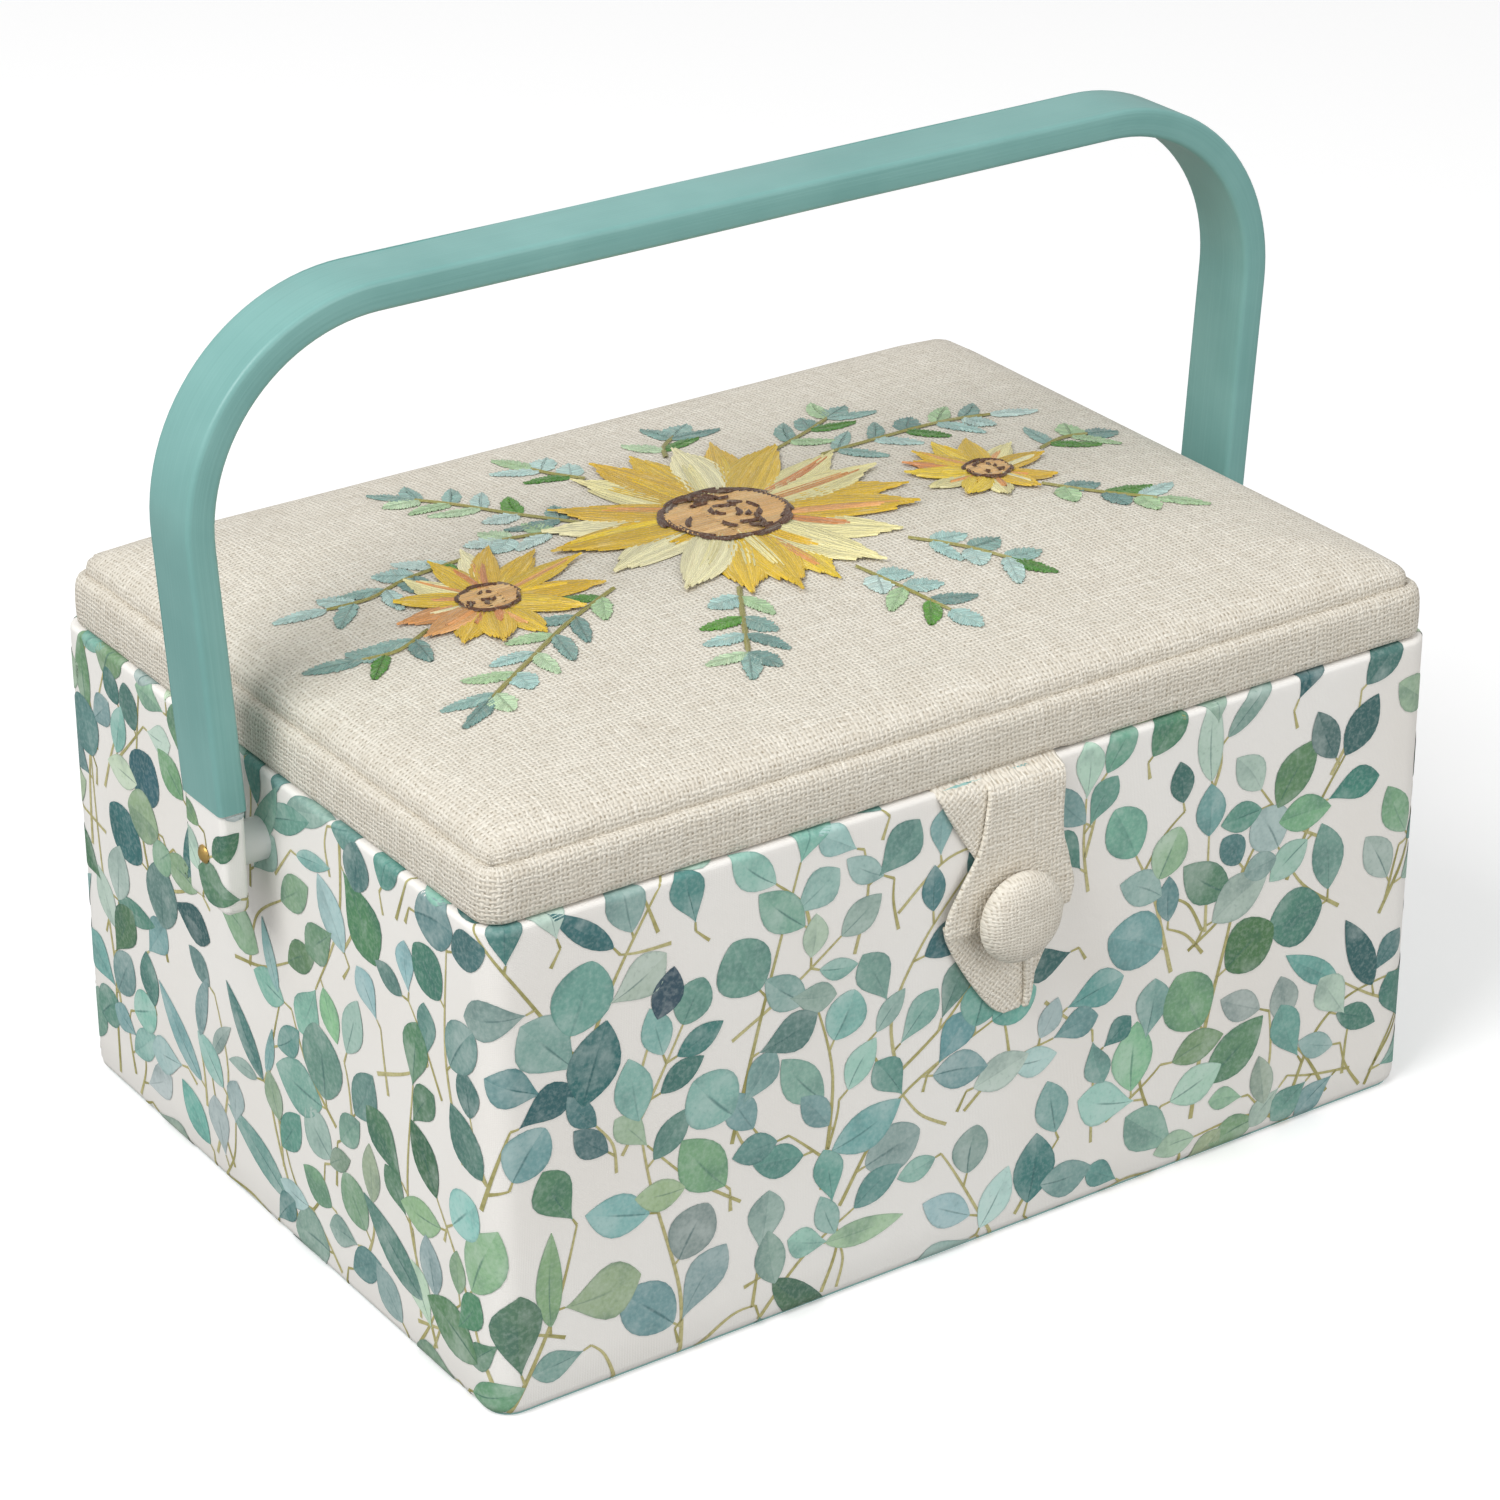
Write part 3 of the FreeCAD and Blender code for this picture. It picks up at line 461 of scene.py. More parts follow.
def make_stitches():
    """Satin stitch: fine threads side by side along x, with a little tangle. Vector is in millimetres."""
    group, w, given, gives = new_group(
        "satin_stitch", [("Vector", VECTOR), ("Pitch", NUMBER)],
        [("Height", NUMBER), ("Tone", NUMBER)])
    x, y, _ = w.split(given["Vector"])
    bent = w.math("MULTIPLY_ADD", w.noise(given["Vector"], 0.35, 2), 0.9, y)
    across = w.math("DIVIDE", bent, given["Pitch"])
    strand = w.math("ROUND", across)
    w.link(w.math("MULTIPLY_ADD", w.math("COSINE", w.times(across, 2 * math.pi)), 0.5, 0.5),
           gives["Height"])
    w.link(w.noise(w.point(w.times(x, 0.12), w.times(strand, 3.3)), 1.0, 2), gives["Tone"])
    return group


def make_wash():
    """Watercolour: soft pooled patches with fine paper grain, as a number round 0.5. Vector is in metres."""
    group, w, given, gives = new_group("watercolour", [("Vector", VECTOR), ("Own", NUMBER)],
                                       [("Wash", NUMBER), ("Grain", NUMBER)])
    shifted = w.node("ShaderNodeVectorMath", operation="ADD")
    w.link(given["Vector"], shifted.inputs[0])
    w.link(w.point(given["Own"], w.times(given["Own"], 3.0), 0.0), shifted.inputs[1])
    w.link(w.noise(shifted.outputs[0], 110, 3, 0.55), gives["Wash"])
    w.link(w.noise(given["Vector"], 900, 2, 0.6), gives["Grain"])
    return group


def make_brushing():
    """Paint laid on with a brush along x of Vector, in millimetres."""
    group, w, given, gives = new_group("brushing", [("Vector", VECTOR)],
                                       [("Streak", NUMBER), ("Patch", NUMBER)])
    x, y, z = w.split(given["Vector"])
    w.link(w.noise(w.point(w.times(x, 0.012), w.times(y, 1.5), z), 1.0, 4, 0.65), gives["Streak"])
    w.link(w.noise(given["Vector"], 0.035, 3), gives["Patch"])
    return group


WEAVE, STITCHES, WASH, BRUSHING = make_weave(), make_stitches(), make_wash(), make_brushing()


def new_material(name, roughness, **sockets):
    """A material with its Principled shader; constants go on the shader's own sockets."""
    material = bpy.data.materials.new(name)
    material.use_nodes = True
    shader = material.node_tree.nodes["Principled BSDF"]
    shader.inputs["Roughness"].default_value = roughness
    for key, value in sockets.items():
        shader.inputs[key.replace("_", " ")].default_value = value
    return material, Wiring(material.node_tree), shader.inputs


def make_linen(name, pale, dark, hole_shade, pitch=1.15, relief=0.32):
    """Undyed slubby linen with painted shade in its open holes; reads the piece's own cloth map."""
    material, w, shader = new_material(name, 0.88, Sheen_Weight=0.12, Sheen_Roughness=0.5)
    cloth = w.place("UV")
    weave = w.use(WEAVE, Vector=cloth, Pitch=pitch, Wobble=2.2)
    fleck = w.noise(w.point(*[w.times(part, scale)
                              for part, scale in zip(w.split(cloth)[:2], (0.5, 1.3))]), 1.0, 4, 0.7)
    base = w.mix(w.ramp(weave["Tone"], 0.34, 0.66), dark, pale)
    base = w.mix(w.ramp(fleck, 0.60, 0.78, 0.0, 0.30), base, colour(176, 166, 148))
    # painted shade: the weave's open holes are darkened toward the hole colour
    base = w.mix(w.times(weave["Shaded_hole"], 0.8), base, hole_shade)
    w.link(base, shader["Base Color"])
    w.link(w.bump(weave["Height"], 0.9, relief * MM), shader["Normal"])
    return material


def make_cotton(name, ground, deep, pitch=0.42, relief=0.07, mapped="UV", scale=1.0):
    """Fine plain cotton with soft, barely seen threads."""
    material, w, shader = new_material(name, 0.82, Sheen_Weight=0.06)
    cloth = w.place(mapped, (scale, scale, scale))
    weave = w.use(WEAVE, Vector=cloth, Pitch=pitch, Wobble=0.25)
    soft = w.noise(w.place("Object"), 14, 3)
    base = w.mix(w.ramp(soft, 0.35, 0.7), ground, deep)
    # painted shade in the weave's open holes, a little toward the deep colour
    base = w.mix(w.times(weave["Shaded_hole"], 0.35), base, deep)
    w.link(base, shader["Base Color"])
    w.link(w.bump(weave["Height"], 0.5, relief * MM), shader["Normal"])
    return material


def make_print():
    """The printed leaves: each takes its own tint, darker at its edge and vein, pooled like watercolour."""
    material, w, shader = new_material("printed_leaves", 0.80)
    leaf = w.node("ShaderNodeAttribute", attribute_name="tint")
    u, v, _ = w.split(w.place("UV"))
    wash = w.use(WASH, Vector=w.place("Object"), Own=leaf.outputs["Alpha"])
    base = leaf.outputs["Color"]
    paper = w.mix(0.55, base, colour(232, 240, 236))
    deep = w.mix(0.62, base, colour(48, 92, 94))
    half = w.math("GREATER_THAN", v, w.math("MULTIPLY_ADD", wash["Wash"], 0.10, 0.45))
    tone = w.math("MULTIPLY_ADD", half, w.ramp(leaf.outputs["Alpha"], 0.0, 1.0, -0.16, 0.16), wash["Wash"])
    base = w.mix(w.ramp(tone, 0.52, 0.82, 0.0, 0.6), base, paper)
    base = w.mix(w.ramp(tone, 0.48, 0.25, 0.0, 0.6), base, deep)
    from_middle = w.times(w.math("ABSOLUTE", w.math("SUBTRACT", v, 0.5)), 2.0)
    rim = w.math("MAXIMUM", w.ramp(from_middle, 0.86, 1.0, 0.0, 1.0),
                 w.math("MAXIMUM", w.ramp(u, 0.05, 0.0), w.ramp(u, 0.96, 1.0)))
    base = w.mix(w.times(rim, 0.45), base, deep)
    vein = w.times(w.ramp(w.math("ADD", from_middle, w.times(u, 0.08)), 0.11, 0.05), w.ramp(u, 0.62, 0.5))
    base = w.mix(w.times(vein, w.ramp(leaf.outputs["Alpha"], 0.15, 0.7, 0.3, 0.95)), base, deep)
    base = w.mix(w.ramp(wash["Grain"], 0.45, 0.7, 0.0, 0.24), base, paper)
    base = w.mix(w.ramp(wash["Grain"], 0.42, 0.25, 0.0, 0.34), base, deep)
    w.link(base, shader["Base Color"])
    return material


def make_print_stem():
    material, w, shader = new_material("printed_stems", 0.80)
    stem = w.node("ShaderNodeAttribute", attribute_name="tint")
    wash = w.use(WASH, Vector=w.place("Object"), Own=stem.outputs["Alpha"])
    base = w.mix(w.ramp(wash["Wash"], 0.4, 0.7, 0.0, 0.7), stem.outputs["Color"], colour(206, 200, 150))
    base = w.mix(w.ramp(wash["Grain"], 0.45, 0.7, 0.0, 0.4), base, colour(120, 120, 60))
    w.link(base, shader["Base Color"])
    return material


def make_embroidery():
    """Rayon embroidery thread in satin stitch; the cloth map runs along and across each motif in mm."""
    material, w, shader = new_material("embroidery_thread", 0.42, Sheen_Weight=0.15, Anisotropic=0.4)
    thread = w.node("ShaderNodeAttribute", attribute_name="tint")
    stitch = w.use(STITCHES, Vector=w.place("UV"), Pitch=0.46)
    base = thread.outputs["Color"]
    base = w.mix(w.ramp(stitch["Tone"], 0.55, 0.75, 0.0, 0.45), base, w.mix(0.5, base, colour(255, 250, 225)))
    base = w.mix(w.ramp(stitch["Tone"], 0.45, 0.28, 0.0, 0.40), base, w.mix(0.5, base, colour(150, 105, 50)))
    # painted shade in the grooves between the strands, where the stitch height is low
    base = w.mix(w.ramp(stitch["Height"], 0.35, 0.0, 0.0, 0.35), base, w.mix(0.6, base, colour(70, 70, 45)))
    speckle = w.noise(w.place("Object", (1000, 1000, 1000)), 1.9, 2, 0.6)
    base = w.mix(w.ramp(speckle, 0.52, 0.70, 0.0, 0.30), base, w.mix(0.5, base, colour(255, 252, 235)))
    base = w.mix(w.ramp(speckle, 0.46, 0.30, 0.0, 0.28), base, w.mix(0.5, base, colour(90, 84, 50)))
    w.link(base, shader["Base Color"])
    w.link(w.bump(stitch["Height"], 0.7, 0.16 * MM), shader["Normal"])
    return material


def make_paint():
    """Teal satin paint brushed along the bow."""
    material, w, shader = new_material("teal_paint", 0.36, Coat_Weight=0.10, Coat_Roughness=0.25)
    brush = w.use(BRUSHING, Vector=w.place("UV"))
    base = w.mix(w.ramp(brush["Patch"], 0.35, 0.68), colour(115, 165, 160), colour(126, 175, 170))
    base = w.mix(w.ramp(brush["Streak"], 0.52, 0.72, 0.0, 0.35), base, colour(140, 186, 182))
    base = w.mix(w.ramp(brush["Streak"], 0.46, 0.28, 0.0, 0.30), base, colour(102, 151, 147))
    w.link(base, shader["Base Color"])
    w.link(w.ramp(brush["Streak"], 0.3, 0.7, 0.32, 0.46), shader["Roughness"])
    w.link(w.bump(brush["Streak"], 0.22, 0.25 * MM), shader["Normal"])
    return material


def make_brass():
    material, w, shader = new_material("brass", 0.3, Metallic=1.0)
    stain = w.noise(w.place("Object"), 260, 4, 0.65)
    w.link(w.mix(w.ramp(stain, 0.35, 0.7), colour(196, 158, 84), colour(222, 190, 122)), shader["Base Color"])
    w.link(w.ramp(stain, 0.3, 0.75, 0.22, 0.46), shader["Roughness"])
    w.link(w.bump(w.noise(w.place("Object", (40, 1200, 1200)), 1.0, 3), 0.12, 0.05 * MM), shader["Normal"])
    return material


def make_board(name, pale, dark):
    """Pressed grey board with short fibres."""
    material, w, shader = new_material(name, 0.9)
    fibre = w.noise(w.place("Object", (500, 500, 1400)), 1.0, 4, 0.7)
    w.link(w.mix(w.ramp(fibre, 0.35, 0.7), dark, pale), shader["Base Color"])
    w.link(w.bump(fibre, 0.3, 0.15 * MM), shader["Normal"])
    return material


def make_tray_plastic():
    """Milky polypropylene with a fine moulded texture and a few handling marks."""
    material, w, shader = new_material("milky_plastic", 0.34, Transmission_Weight=0.22, IOR=1.49)
    cloud = w.noise(w.place("Object"), 22, 3)
    marks = w.noise(w.place("Object", (30, 600, 90)), 1.0, 3, 0.6)
    w.link(w.mix(w.ramp(cloud, 0.3, 0.7), colour(232, 236, 234), colour(244, 246, 243)), shader["Base Color"])
    w.link(w.ramp(marks, 0.4, 0.75, 0.28, 0.45), shader["Roughness"])
    w.link(w.bump(w.noise(w.place("Object"), 1500, 2), 0.10, 0.06 * MM), shader["Normal"])
    return material


# the third colour of each linen is the painted shade in its open holes
LINEN = make_linen("undyed_linen", colour(234, 228, 215), colour(212, 204, 189), colour(140, 126, 104))
LINEN_STRAP = make_linen("strap_linen", colour(240, 234, 221), colour(221, 213, 198), colour(166, 152, 130))
LINEN_FINE = make_linen("button_linen", colour(236, 230, 217), colour(216, 208, 194), colour(164, 152, 132),
                        pitch=1.0, relief=0.22)
GROUND = make_cotton("printed_cotton_ground", colour(243, 241, 237), colour(238, 234, 228))
LINING = make_cotton("plain_lining", colour(150, 196, 190), colour(134, 182, 177), pitch=0.6, relief=0.09,
                     mapped="Object", scale=1000.0)
CUSHION_CLOTH = make_cotton("cushion_cotton", colour(226, 190, 96), colour(214, 174, 80), pitch=0.6,
                            relief=0.09, mapped="Object", scale=1000.0)
PIPING = make_cotton("piping_cotton", colour(238, 234, 226), colour(224, 216, 204), pitch=0.6,
                     relief=0.1, mapped="Object", scale=1000.0)
LEAVES, STEMS, THREAD = make_print(), make_print_stem(), make_embroidery()
PAINT, BRASS, TRAY_PLASTIC = make_paint(), make_brass(), make_tray_plastic()
BOARD = make_board("grey_board", colour(196, 188, 172), colour(166, 156, 140))

CAD_FINISH = {
    LINING: ("wall_lining", "floor_lining", "base_cloth", "lid_lining"),
    BOARD: ("base_board", "front_board", "back_board", "left_board", "right_board", "front_tray_ledge",
            "back_tray_ledge", "lid_board", "lid_front_rail", "lid_back_rail", "lid_left_rail",
            "lid_right_rail"),
    BRASS: ("left_pivot_pin", "right_pivot_pin",
            "case_hinge_leaves", "lid_hinge_leaves", "hinge_pins", "case_hinge_screws", "lid_hinge_screws"),
    TRAY_PLASTIC: ("left_tray", "right_tray", "left_spacer_bush", "right_spacer_bush"),
    PIPING: ("button_shank",),
}
for finish, names in CAD_FINISH.items():
    for node_name in names:
        NODES[node_name].data.materials.clear()
        NODES[node_name].data.materials.append(finish)


# ---------------------------------------------------------------- the case cloth and its print

def make_case_cloth():
    """Printed cotton wrapped round the boards, turned under the base and over the rim."""
    heights = [3 + i * 114 / 16 for i in range(17)]
    rim = [(RIM_START + d, 0.0) for d in (0.0, 0.4, 0.8, 1.2, 1.6, 2.0, 3.0, 4.2)]
    inside = [(119.6, -4.3), (118.4, -4.5), (114.0, -4.5)]
    profile = [(0.05, -8.0)] + rounded_foot(CASE) + [(z, 0.0) for z in heights] + rim + inside

    def place(s, z, lift, wall):
        if z >= 3 and lift > -4:
            return on_wall(s, z, lift, wall)
        x, y, nx, ny = round_the_wall(s, wall)
        return x + nx * lift, y + ny * lift, z

    cloth = strip_round("case_cloth", CASE, profile, 6.0, place)
    smooth(cloth, 60)
    return put(cloth, GROUND, "case", ("case_cover",))


TEALS = [(148, 192, 182), (126, 176, 166), (112, 160, 151), (136, 186, 176)]
DEEP = [(80, 124, 120), (94, 140, 133), (84, 132, 128), (66, 108, 110)]
AQUAS = [(174, 208, 199), (192, 216, 205), (158, 200, 191)]
GREENS = [(136, 178, 138), (114, 156, 118), (148, 190, 148), (92, 136, 104)]
MINTS = [(176, 204, 168), (192, 218, 186), (158, 192, 156)]
GREYS = [(164, 194, 187), (142, 176, 170), (186, 211, 202), (116, 158, 152)]
OLIVES = [(176, 168, 112), (160, 154, 96), (190, 182, 132)]

# leaf cuts: length and width in mm, and where the leaf is widest (0 at its stalk)
CUTS = {"round": (15.5, 13.5, 0.50), "oval": (17.5, 10.5, 0.48), "lance": (25.0, 8.0, 0.42),
        "drop": (18.0, 11.5, 0.62)}
LEAF_ALONG, LEAF_ACROSS = 12, 4


def make_leaf_cut(name, length, width, widest):
    """One flat leaf from its stalk at the origin along +x."""
    leaf = sheet_of_cloth(f"leaf_{name}", LEAF_ALONG, LEAF_ACROSS)
    for vertex in leaf.data.vertices:
        t, side = (vertex.co.x + 1) / 2, vertex.co.y
        t = 0.5 - 0.5 * math.cos(math.pi * t)
        power = math.log(0.5) / math.log(widest)
        half = width / 2 * math.sin(math.pi * t ** power) ** (0.62 if name == "round" else 0.85)
        vertex.co = (t * length, side * max(half, 0.12), 0)
    return leaf


def grown(points, steps):
    """A smooth line through the points (x, z), as Catmull-Rom pieces."""
    ends = [points[0]] + list(points) + [points[-1]]
    line = []
    for a, b, c, d in zip(ends, ends[1:], ends[2:], ends[3:]):
        for i in range(steps):
            t = i / steps
            line.append(tuple(0.5 * (2 * q + (r - p) * t + (2 * p - 5 * q + 4 * r - u) * t * t
                                     + (3 * q - p - 3 * r + u) * t ** 3) for p, q, r, u in zip(a, b, c, d)))
    return line + [tuple(points[-1])]


class LeafPrint:
    """Collects leaves and stems laid flat on the unrolled cloth, then wraps them round a wall."""

    def __init__(self, seed, wall, low, high):
        self.dice = random.Random(seed)
        self.wall, self.low, self.high = wall, low, high
        self.leaves, self.stems, self.taken = [], [], []
        half_x, half_y, corner = wall[:3]
        self.round = 4 * (half_x + half_y - 2 * corner) + 2 * math.pi * corner

    def free(self, s, z, room, share=0.80):
        for other_s, other_z, other in self.taken:
            gap = abs((s - other_s + self.round / 2) % self.round - self.round / 2)
            if math.hypot(gap, z - other_z) < (room + other) * share:
                return False
        return True

    def leaf(self, s, z, angle, cut, scale, family, share=0.80):
        length, width, _ = CUTS[cut]
        reach = length * scale
        middle = (s + math.cos(angle) * reach / 2, z + math.sin(angle) * reach / 2)
        room = (length + width) / 4 * scale
        if not self.free(*middle, room, share) or not self.low - 6 < middle[1] < self.high + 6:
            return False
        self.taken.append((*middle, room))
        red, green, blue = self.dice.choice(family)
        shade = self.dice.uniform(0.84, 1.04)
        rgb = [min(255, part * shade + self.dice.uniform(-7, 7)) for part in (red, green, blue)]
        self.leaves.append((s, z, angle, cut, scale, colour(*rgb, self.dice.random()),
                            self.dice.uniform(-0.12, 0.12), 0.86 + 0.28 * self.dice.random()))
        return True

    def stem(self, line, wide_start, wide_end):
        self.stems.append((line, wide_start, wide_end, colour(*self.dice.choice(OLIVES), self.dice.random())))

    def sprig(self, points, family, cuts, scale=1.0, spacing=13.0, first=6.0, pairs=False, share=0.8):
        """A stem with leaves on short stalks to both sides and one at its tip."""
        line = grown(points, 8)
        walked, wanted, side, hung, last = 0.0, first, self.dice.choice((-1, 1)), 0, 0
        total = sum(math.dist(a, b) for a, b in zip(line, line[1:]))
        for step, (a, b) in enumerate(zip(line, line[1:]), start=1):
            walked += math.dist(a, b)
            if walked < wanted or walked > total - 2:
                continue
            heading = math.atan2(b[1] - a[1], b[0] - a[0])
            size = scale * (1.05 - 0.35 * walked / total) * self.dice.uniform(0.86, 1.12)
            for way in ((side, -side) if pairs else (side,)):
                lean = heading + way * math.radians(self.dice.uniform(38, 72))
                stalk = self.dice.uniform(1.6, 3.6)
                foot = (b[0] + stalk * math.cos(lean), b[1] + stalk * math.sin(lean))
                turned = lean - way * math.radians(self.dice.uniform(0, 18))
                if self.leaf(*foot, turned, self.dice.choice(cuts), size, family, share):
                    self.stem([b, foot], 0.7, 0.5)
                    hung, last = hung + 1, step
            side = -side
            wanted = walked + spacing * self.dice.uniform(0.8, 1.15) * scale
        end, before = line[-1], line[-2]
        heading = math.atan2(end[1] - before[1], end[0] - before[0])
        if self.leaf(*end, heading, self.dice.choice(cuts), scale * 0.85, family, share):
            hung, last = hung + 1, len(line) - 1
        if hung and last > 1:
            self.stem(line[:last + 1], 1.05 * scale, 0.5)
        return hung

    def fill(self, tries, family_at):
        """Small sprigs and single leaves where the cloth is still bare."""
        for _ in range(tries):
            s, z = self.dice.uniform(0, self.round), self.dice.uniform(self.low - 2, self.high)
            family, cuts = family_at(s, z)
            angle = math.radians(self.dice.gauss(90, 38))
            if not self.free(s, z, 7.0, 0.7):
                continue
            length = self.dice.uniform(14, 34)
            bend = math.radians(self.dice.uniform(-35, 35))
            knee = (s + math.cos(angle) * length / 2, z + math.sin(angle) * length / 2)
            end = (knee[0] + math.cos(angle + bend) * length / 2,
                   knee[1] + math.sin(angle + bend) * length / 2)
            self.sprig([(s, z), knee, end], family, cuts, self.dice.uniform(0.78, 1.08), spacing=10,
                       first=4, pairs=self.dice.random() < 0.5, share=0.74)

    def turns_at(self, face):
        """Whether the wall bends under a face of the still flat print."""
        s, z, _ = middle_of(face)
        if z < self.wall[5] + self.wall[3] + 0.5 or self.wall is CASE and z > RIM_START - 1:
            return True
        return any(min(abs(part) for part in round_the_wall(s + step, self.wall)[2:]) > 0.02
                   for step in (-1.5, 0.0, 1.5))

    def bend_round(self, flat):
        """Cuts the flat print off at the cloth's edges, makes it finer where the wall turns, and bends it."""
        pick(flat, "FACE", lambda f: not any(self.low < v.co.y / MM < self.high for v in f.verts))
        bpy.ops.mesh.delete(type="FACE")
        leave_edit()
        pick(flat, "FACE", self.turns_at)
        bpy.ops.mesh.subdivide(number_cuts=2)
        leave_edit()
        for vertex in flat.data.vertices:
            s, z, lift = vertex.co / MM
            place = on_wall(s, min(self.high, max(self.low, z)), lift, self.wall, self.wall is CASE)
            vertex.co = [part * MM for part in place]
        smooth(flat, 60)

    def wrap(self, name, cuts, body):
        """Copies a cut for every leaf, lays it on the unrolled cloth and bends all of it round the wall."""
        pieces = []
        for number, (s, z, angle, cut, scale, rgba, curl, wide) in enumerate(self.leaves):
            mesh = cuts[cut].data.copy()
            lift = 0.12 + 0.06 * ((number * 7) % 11) / 11
            length = CUTS[cut][0] * scale
            cos, sin = math.cos(angle), math.sin(angle)
            for vertex in mesh.vertices:
                along, across = vertex.co.x * scale, vertex.co.y * scale * wide
                across += curl * length * (along / length) * (1 - along / length) * 2
                vertex.co = ((s + along * cos - across * sin) * MM,
                             (z + along * sin + across * cos) * MM, lift * MM)
            obj = bpy.data.objects.new(f"{name}_leaf", mesh)
            bpy.context.scene.collection.objects.link(obj)
            tint(obj, rgba)
            pieces.append(obj)
        leaves = join(pieces, f"{name}_leaves")
        self.bend_round(leaves)
        put(leaves, LEAVES, body)
        pieces = []
        for line, wide_start, wide_end, rgba in self.stems:
            count = len(line) - 1 if len(line) > 2 else 2
            ribbon = sheet_of_cloth(f"{name}_stem", count, 1)

            def place(column, row, line=line, count=count, wide_start=wide_start, wide_end=wide_end):
                t = column / count
                if len(line) == 2:
                    s, z = (a + (b - a) * t for a, b in zip(*line))
                    ds, dz = line[1][0] - line[0][0], line[1][1] - line[0][1]
                else:
                    s, z = line[column]
                    a, b = line[max(0, column - 1)], line[min(count, column + 1)]
                    ds, dz = b[0] - a[0], b[1] - a[1]
                long = math.hypot(ds, dz) or 1.0
                half = (wide_start + (wide_end - wide_start) * t) / 2 * (1 if row else -1)
                return (s - dz / long * half, z + ds / long * half, 0.09), (t * 10, float(row))

            lay_out(ribbon, count, 1, place)
            tint(ribbon, rgba)
            pieces.append(ribbon)
        stems = join(pieces, f"{name}_stems")
        self.bend_round(stems)
        put(stems, STEMS, body)
        return leaves


def left_side(y):
    """How far round the case a place on its left end is."""
    return -222.5 - y


def print_case(cuts):
    """The eucalyptus print: the long sprigs first, then the small ones that fill between them."""
    case = LeafPrint(71, CASE, 0.4, 122.2)
    round_, oval, lance, drop = ["round"], ["oval"], ["lance"], ["drop"]
    long_sprigs = [
        ([(-110, 73), (-100, 98), (-84, 124)], AQUAS + MINTS, drop + oval, 1.1, 13),
        ([(-107, 82), (-120, 102), (-133, 121)], GREYS + DEEP, round_ + drop, 1.0, 12),
        ([(-83, 1), (-83, 18), (-90, 46), (-93, 64)], GREYS + TEALS, round_ + oval, 1.1, 12),
        ([(-69, 50), (-60, 84), (-51, 114)], TEALS + MINTS, round_ + drop, 1.05, 13),
        ([(-45, 30), (-42, 58), (-48, 82)], AQUAS + TEALS, oval + round_, 1.05, 13),
        ([(-40, 24), (-24, 46), (2, 58)], TEALS + GREYS, round_ + oval, 1.0, 12),
        ([(-24, 52), (-26, 68), (-18, 84), (-6, 98)], DEEP + TEALS, oval + drop, 0.95, 12),
        ([(4, 0), (-8, 22), (-16, 34)], GREYS + AQUAS, oval + round_, 0.9, 12),
        ([(-132, 52), (-125, 72), (-116, 88)], DEEP, oval + drop, 1.1, 12),
        ([(-127, 1), (-115, 24), (-108, 48)], MINTS + GREENS, oval + drop, 1.25, 14),
        ([(-128, 3), (-140, 30), (-150, 46)], MINTS + GREENS, oval, 1.2, 14),
        ([(-62, 2), (-50, 14), (-36, 22)], GREYS + MINTS, lance + oval, 1.0, 13),
        ([(62, 12), (65, 35), (70, 56), (75, 75), (84, 88)], GREENS, oval + round_, 1.25, 13),
        ([(54, 54), (48, 75), (42, 88)], GREENS + TEALS, round_, 1.15, 13),
        ([(36, 20), (52, 30), (60, 44)], GREENS + DEEP, oval + drop, 1.0, 12),
        ([(88, 68), (96, 84), (104, 96)], DEEP, drop + oval, 1.1, 11),
        ([(100, 92), (107, 105), (108, 122)], DEEP + TEALS, oval, 1.1, 11),
        ([(94, 10), (100, 23), (110, 30), (126, 32)], TEALS + DEEP, drop + oval, 1.0, 11),
        ([(118, 50), (126, 66), (130, 82)], AQUAS + GREENS, oval, 1.05, 12),
        ([(17, 58), (28, 48), (40, 42)], TEALS, drop, 0.95, 11),
        ([(27, 92), (31, 108), (30, 122)], AQUAS + TEALS, round_ + oval, 0.95, 12),
        ([(10, 4), (24, 22), (34, 30)], AQUAS + TEALS, oval + lance, 0.95, 12),
        ([(80, 3), (86, 20), (84, 40)], AQUAS + GREENS, oval, 0.95, 12),
    ]
    left_sprigs = [
        ([(50, 48), (60, 84), (56, 118)], DEEP + GREYS, round_, 1.1, 13),
        ([(76, 20), (82, 60), (84, 100)], TEALS + GREENS, lance + drop, 1.0, 12),
        ([(54, 66), (36, 74), (26, 92)], DEEP, lance + drop, 1.0, 12),
        ([(-36, 118), (-34, 96), (-22, 74)], TEALS + GREENS, drop + oval, 1.1, 13),
        ([(-70, 6), (-60, 36), (-64, 70)], GREENS + TEALS, drop + lance, 1.1, 13),
        ([(-10, 4), (2, 36), (-6, 66)], TEALS + DEEP, lance + oval, 1.05, 13),
        ([(30, 6), (22, 32), (30, 58)], AQUAS + GREYS, oval, 1.0, 12),
        ([(-84, 60), (-78, 84), (-80, 112)], GREYS + DEEP, round_, 1.1, 12),
    ]
    long_sprigs += [([(left_side(y), z) for y, z in line], *rest) for line, *rest in left_sprigs]
    for line, family, kinds, scale, spacing in long_sprigs:
        case.sprig(line, family, kinds, scale, spacing, share=0.70)
    # the sides that are seldom seen repeat the same kind of long sprigs
    for s in range(150, 590, 31):
        for base in (4, 64):
            start = s + case.dice.uniform(-9, 9)
            lean = case.dice.uniform(-14, 14)
            family = case.dice.choice([TEALS + GREYS, GREENS, AQUAS + TEALS, DEEP + TEALS, MINTS + GREENS])
            kinds = case.dice.choice([round_ + oval, drop + oval, lance + drop, round_])
            case.sprig([(start, base), (start + lean * 0.2, base + 26), (start + lean, base + 50)],
                       family, kinds, 1.08, 12.5, share=0.72)

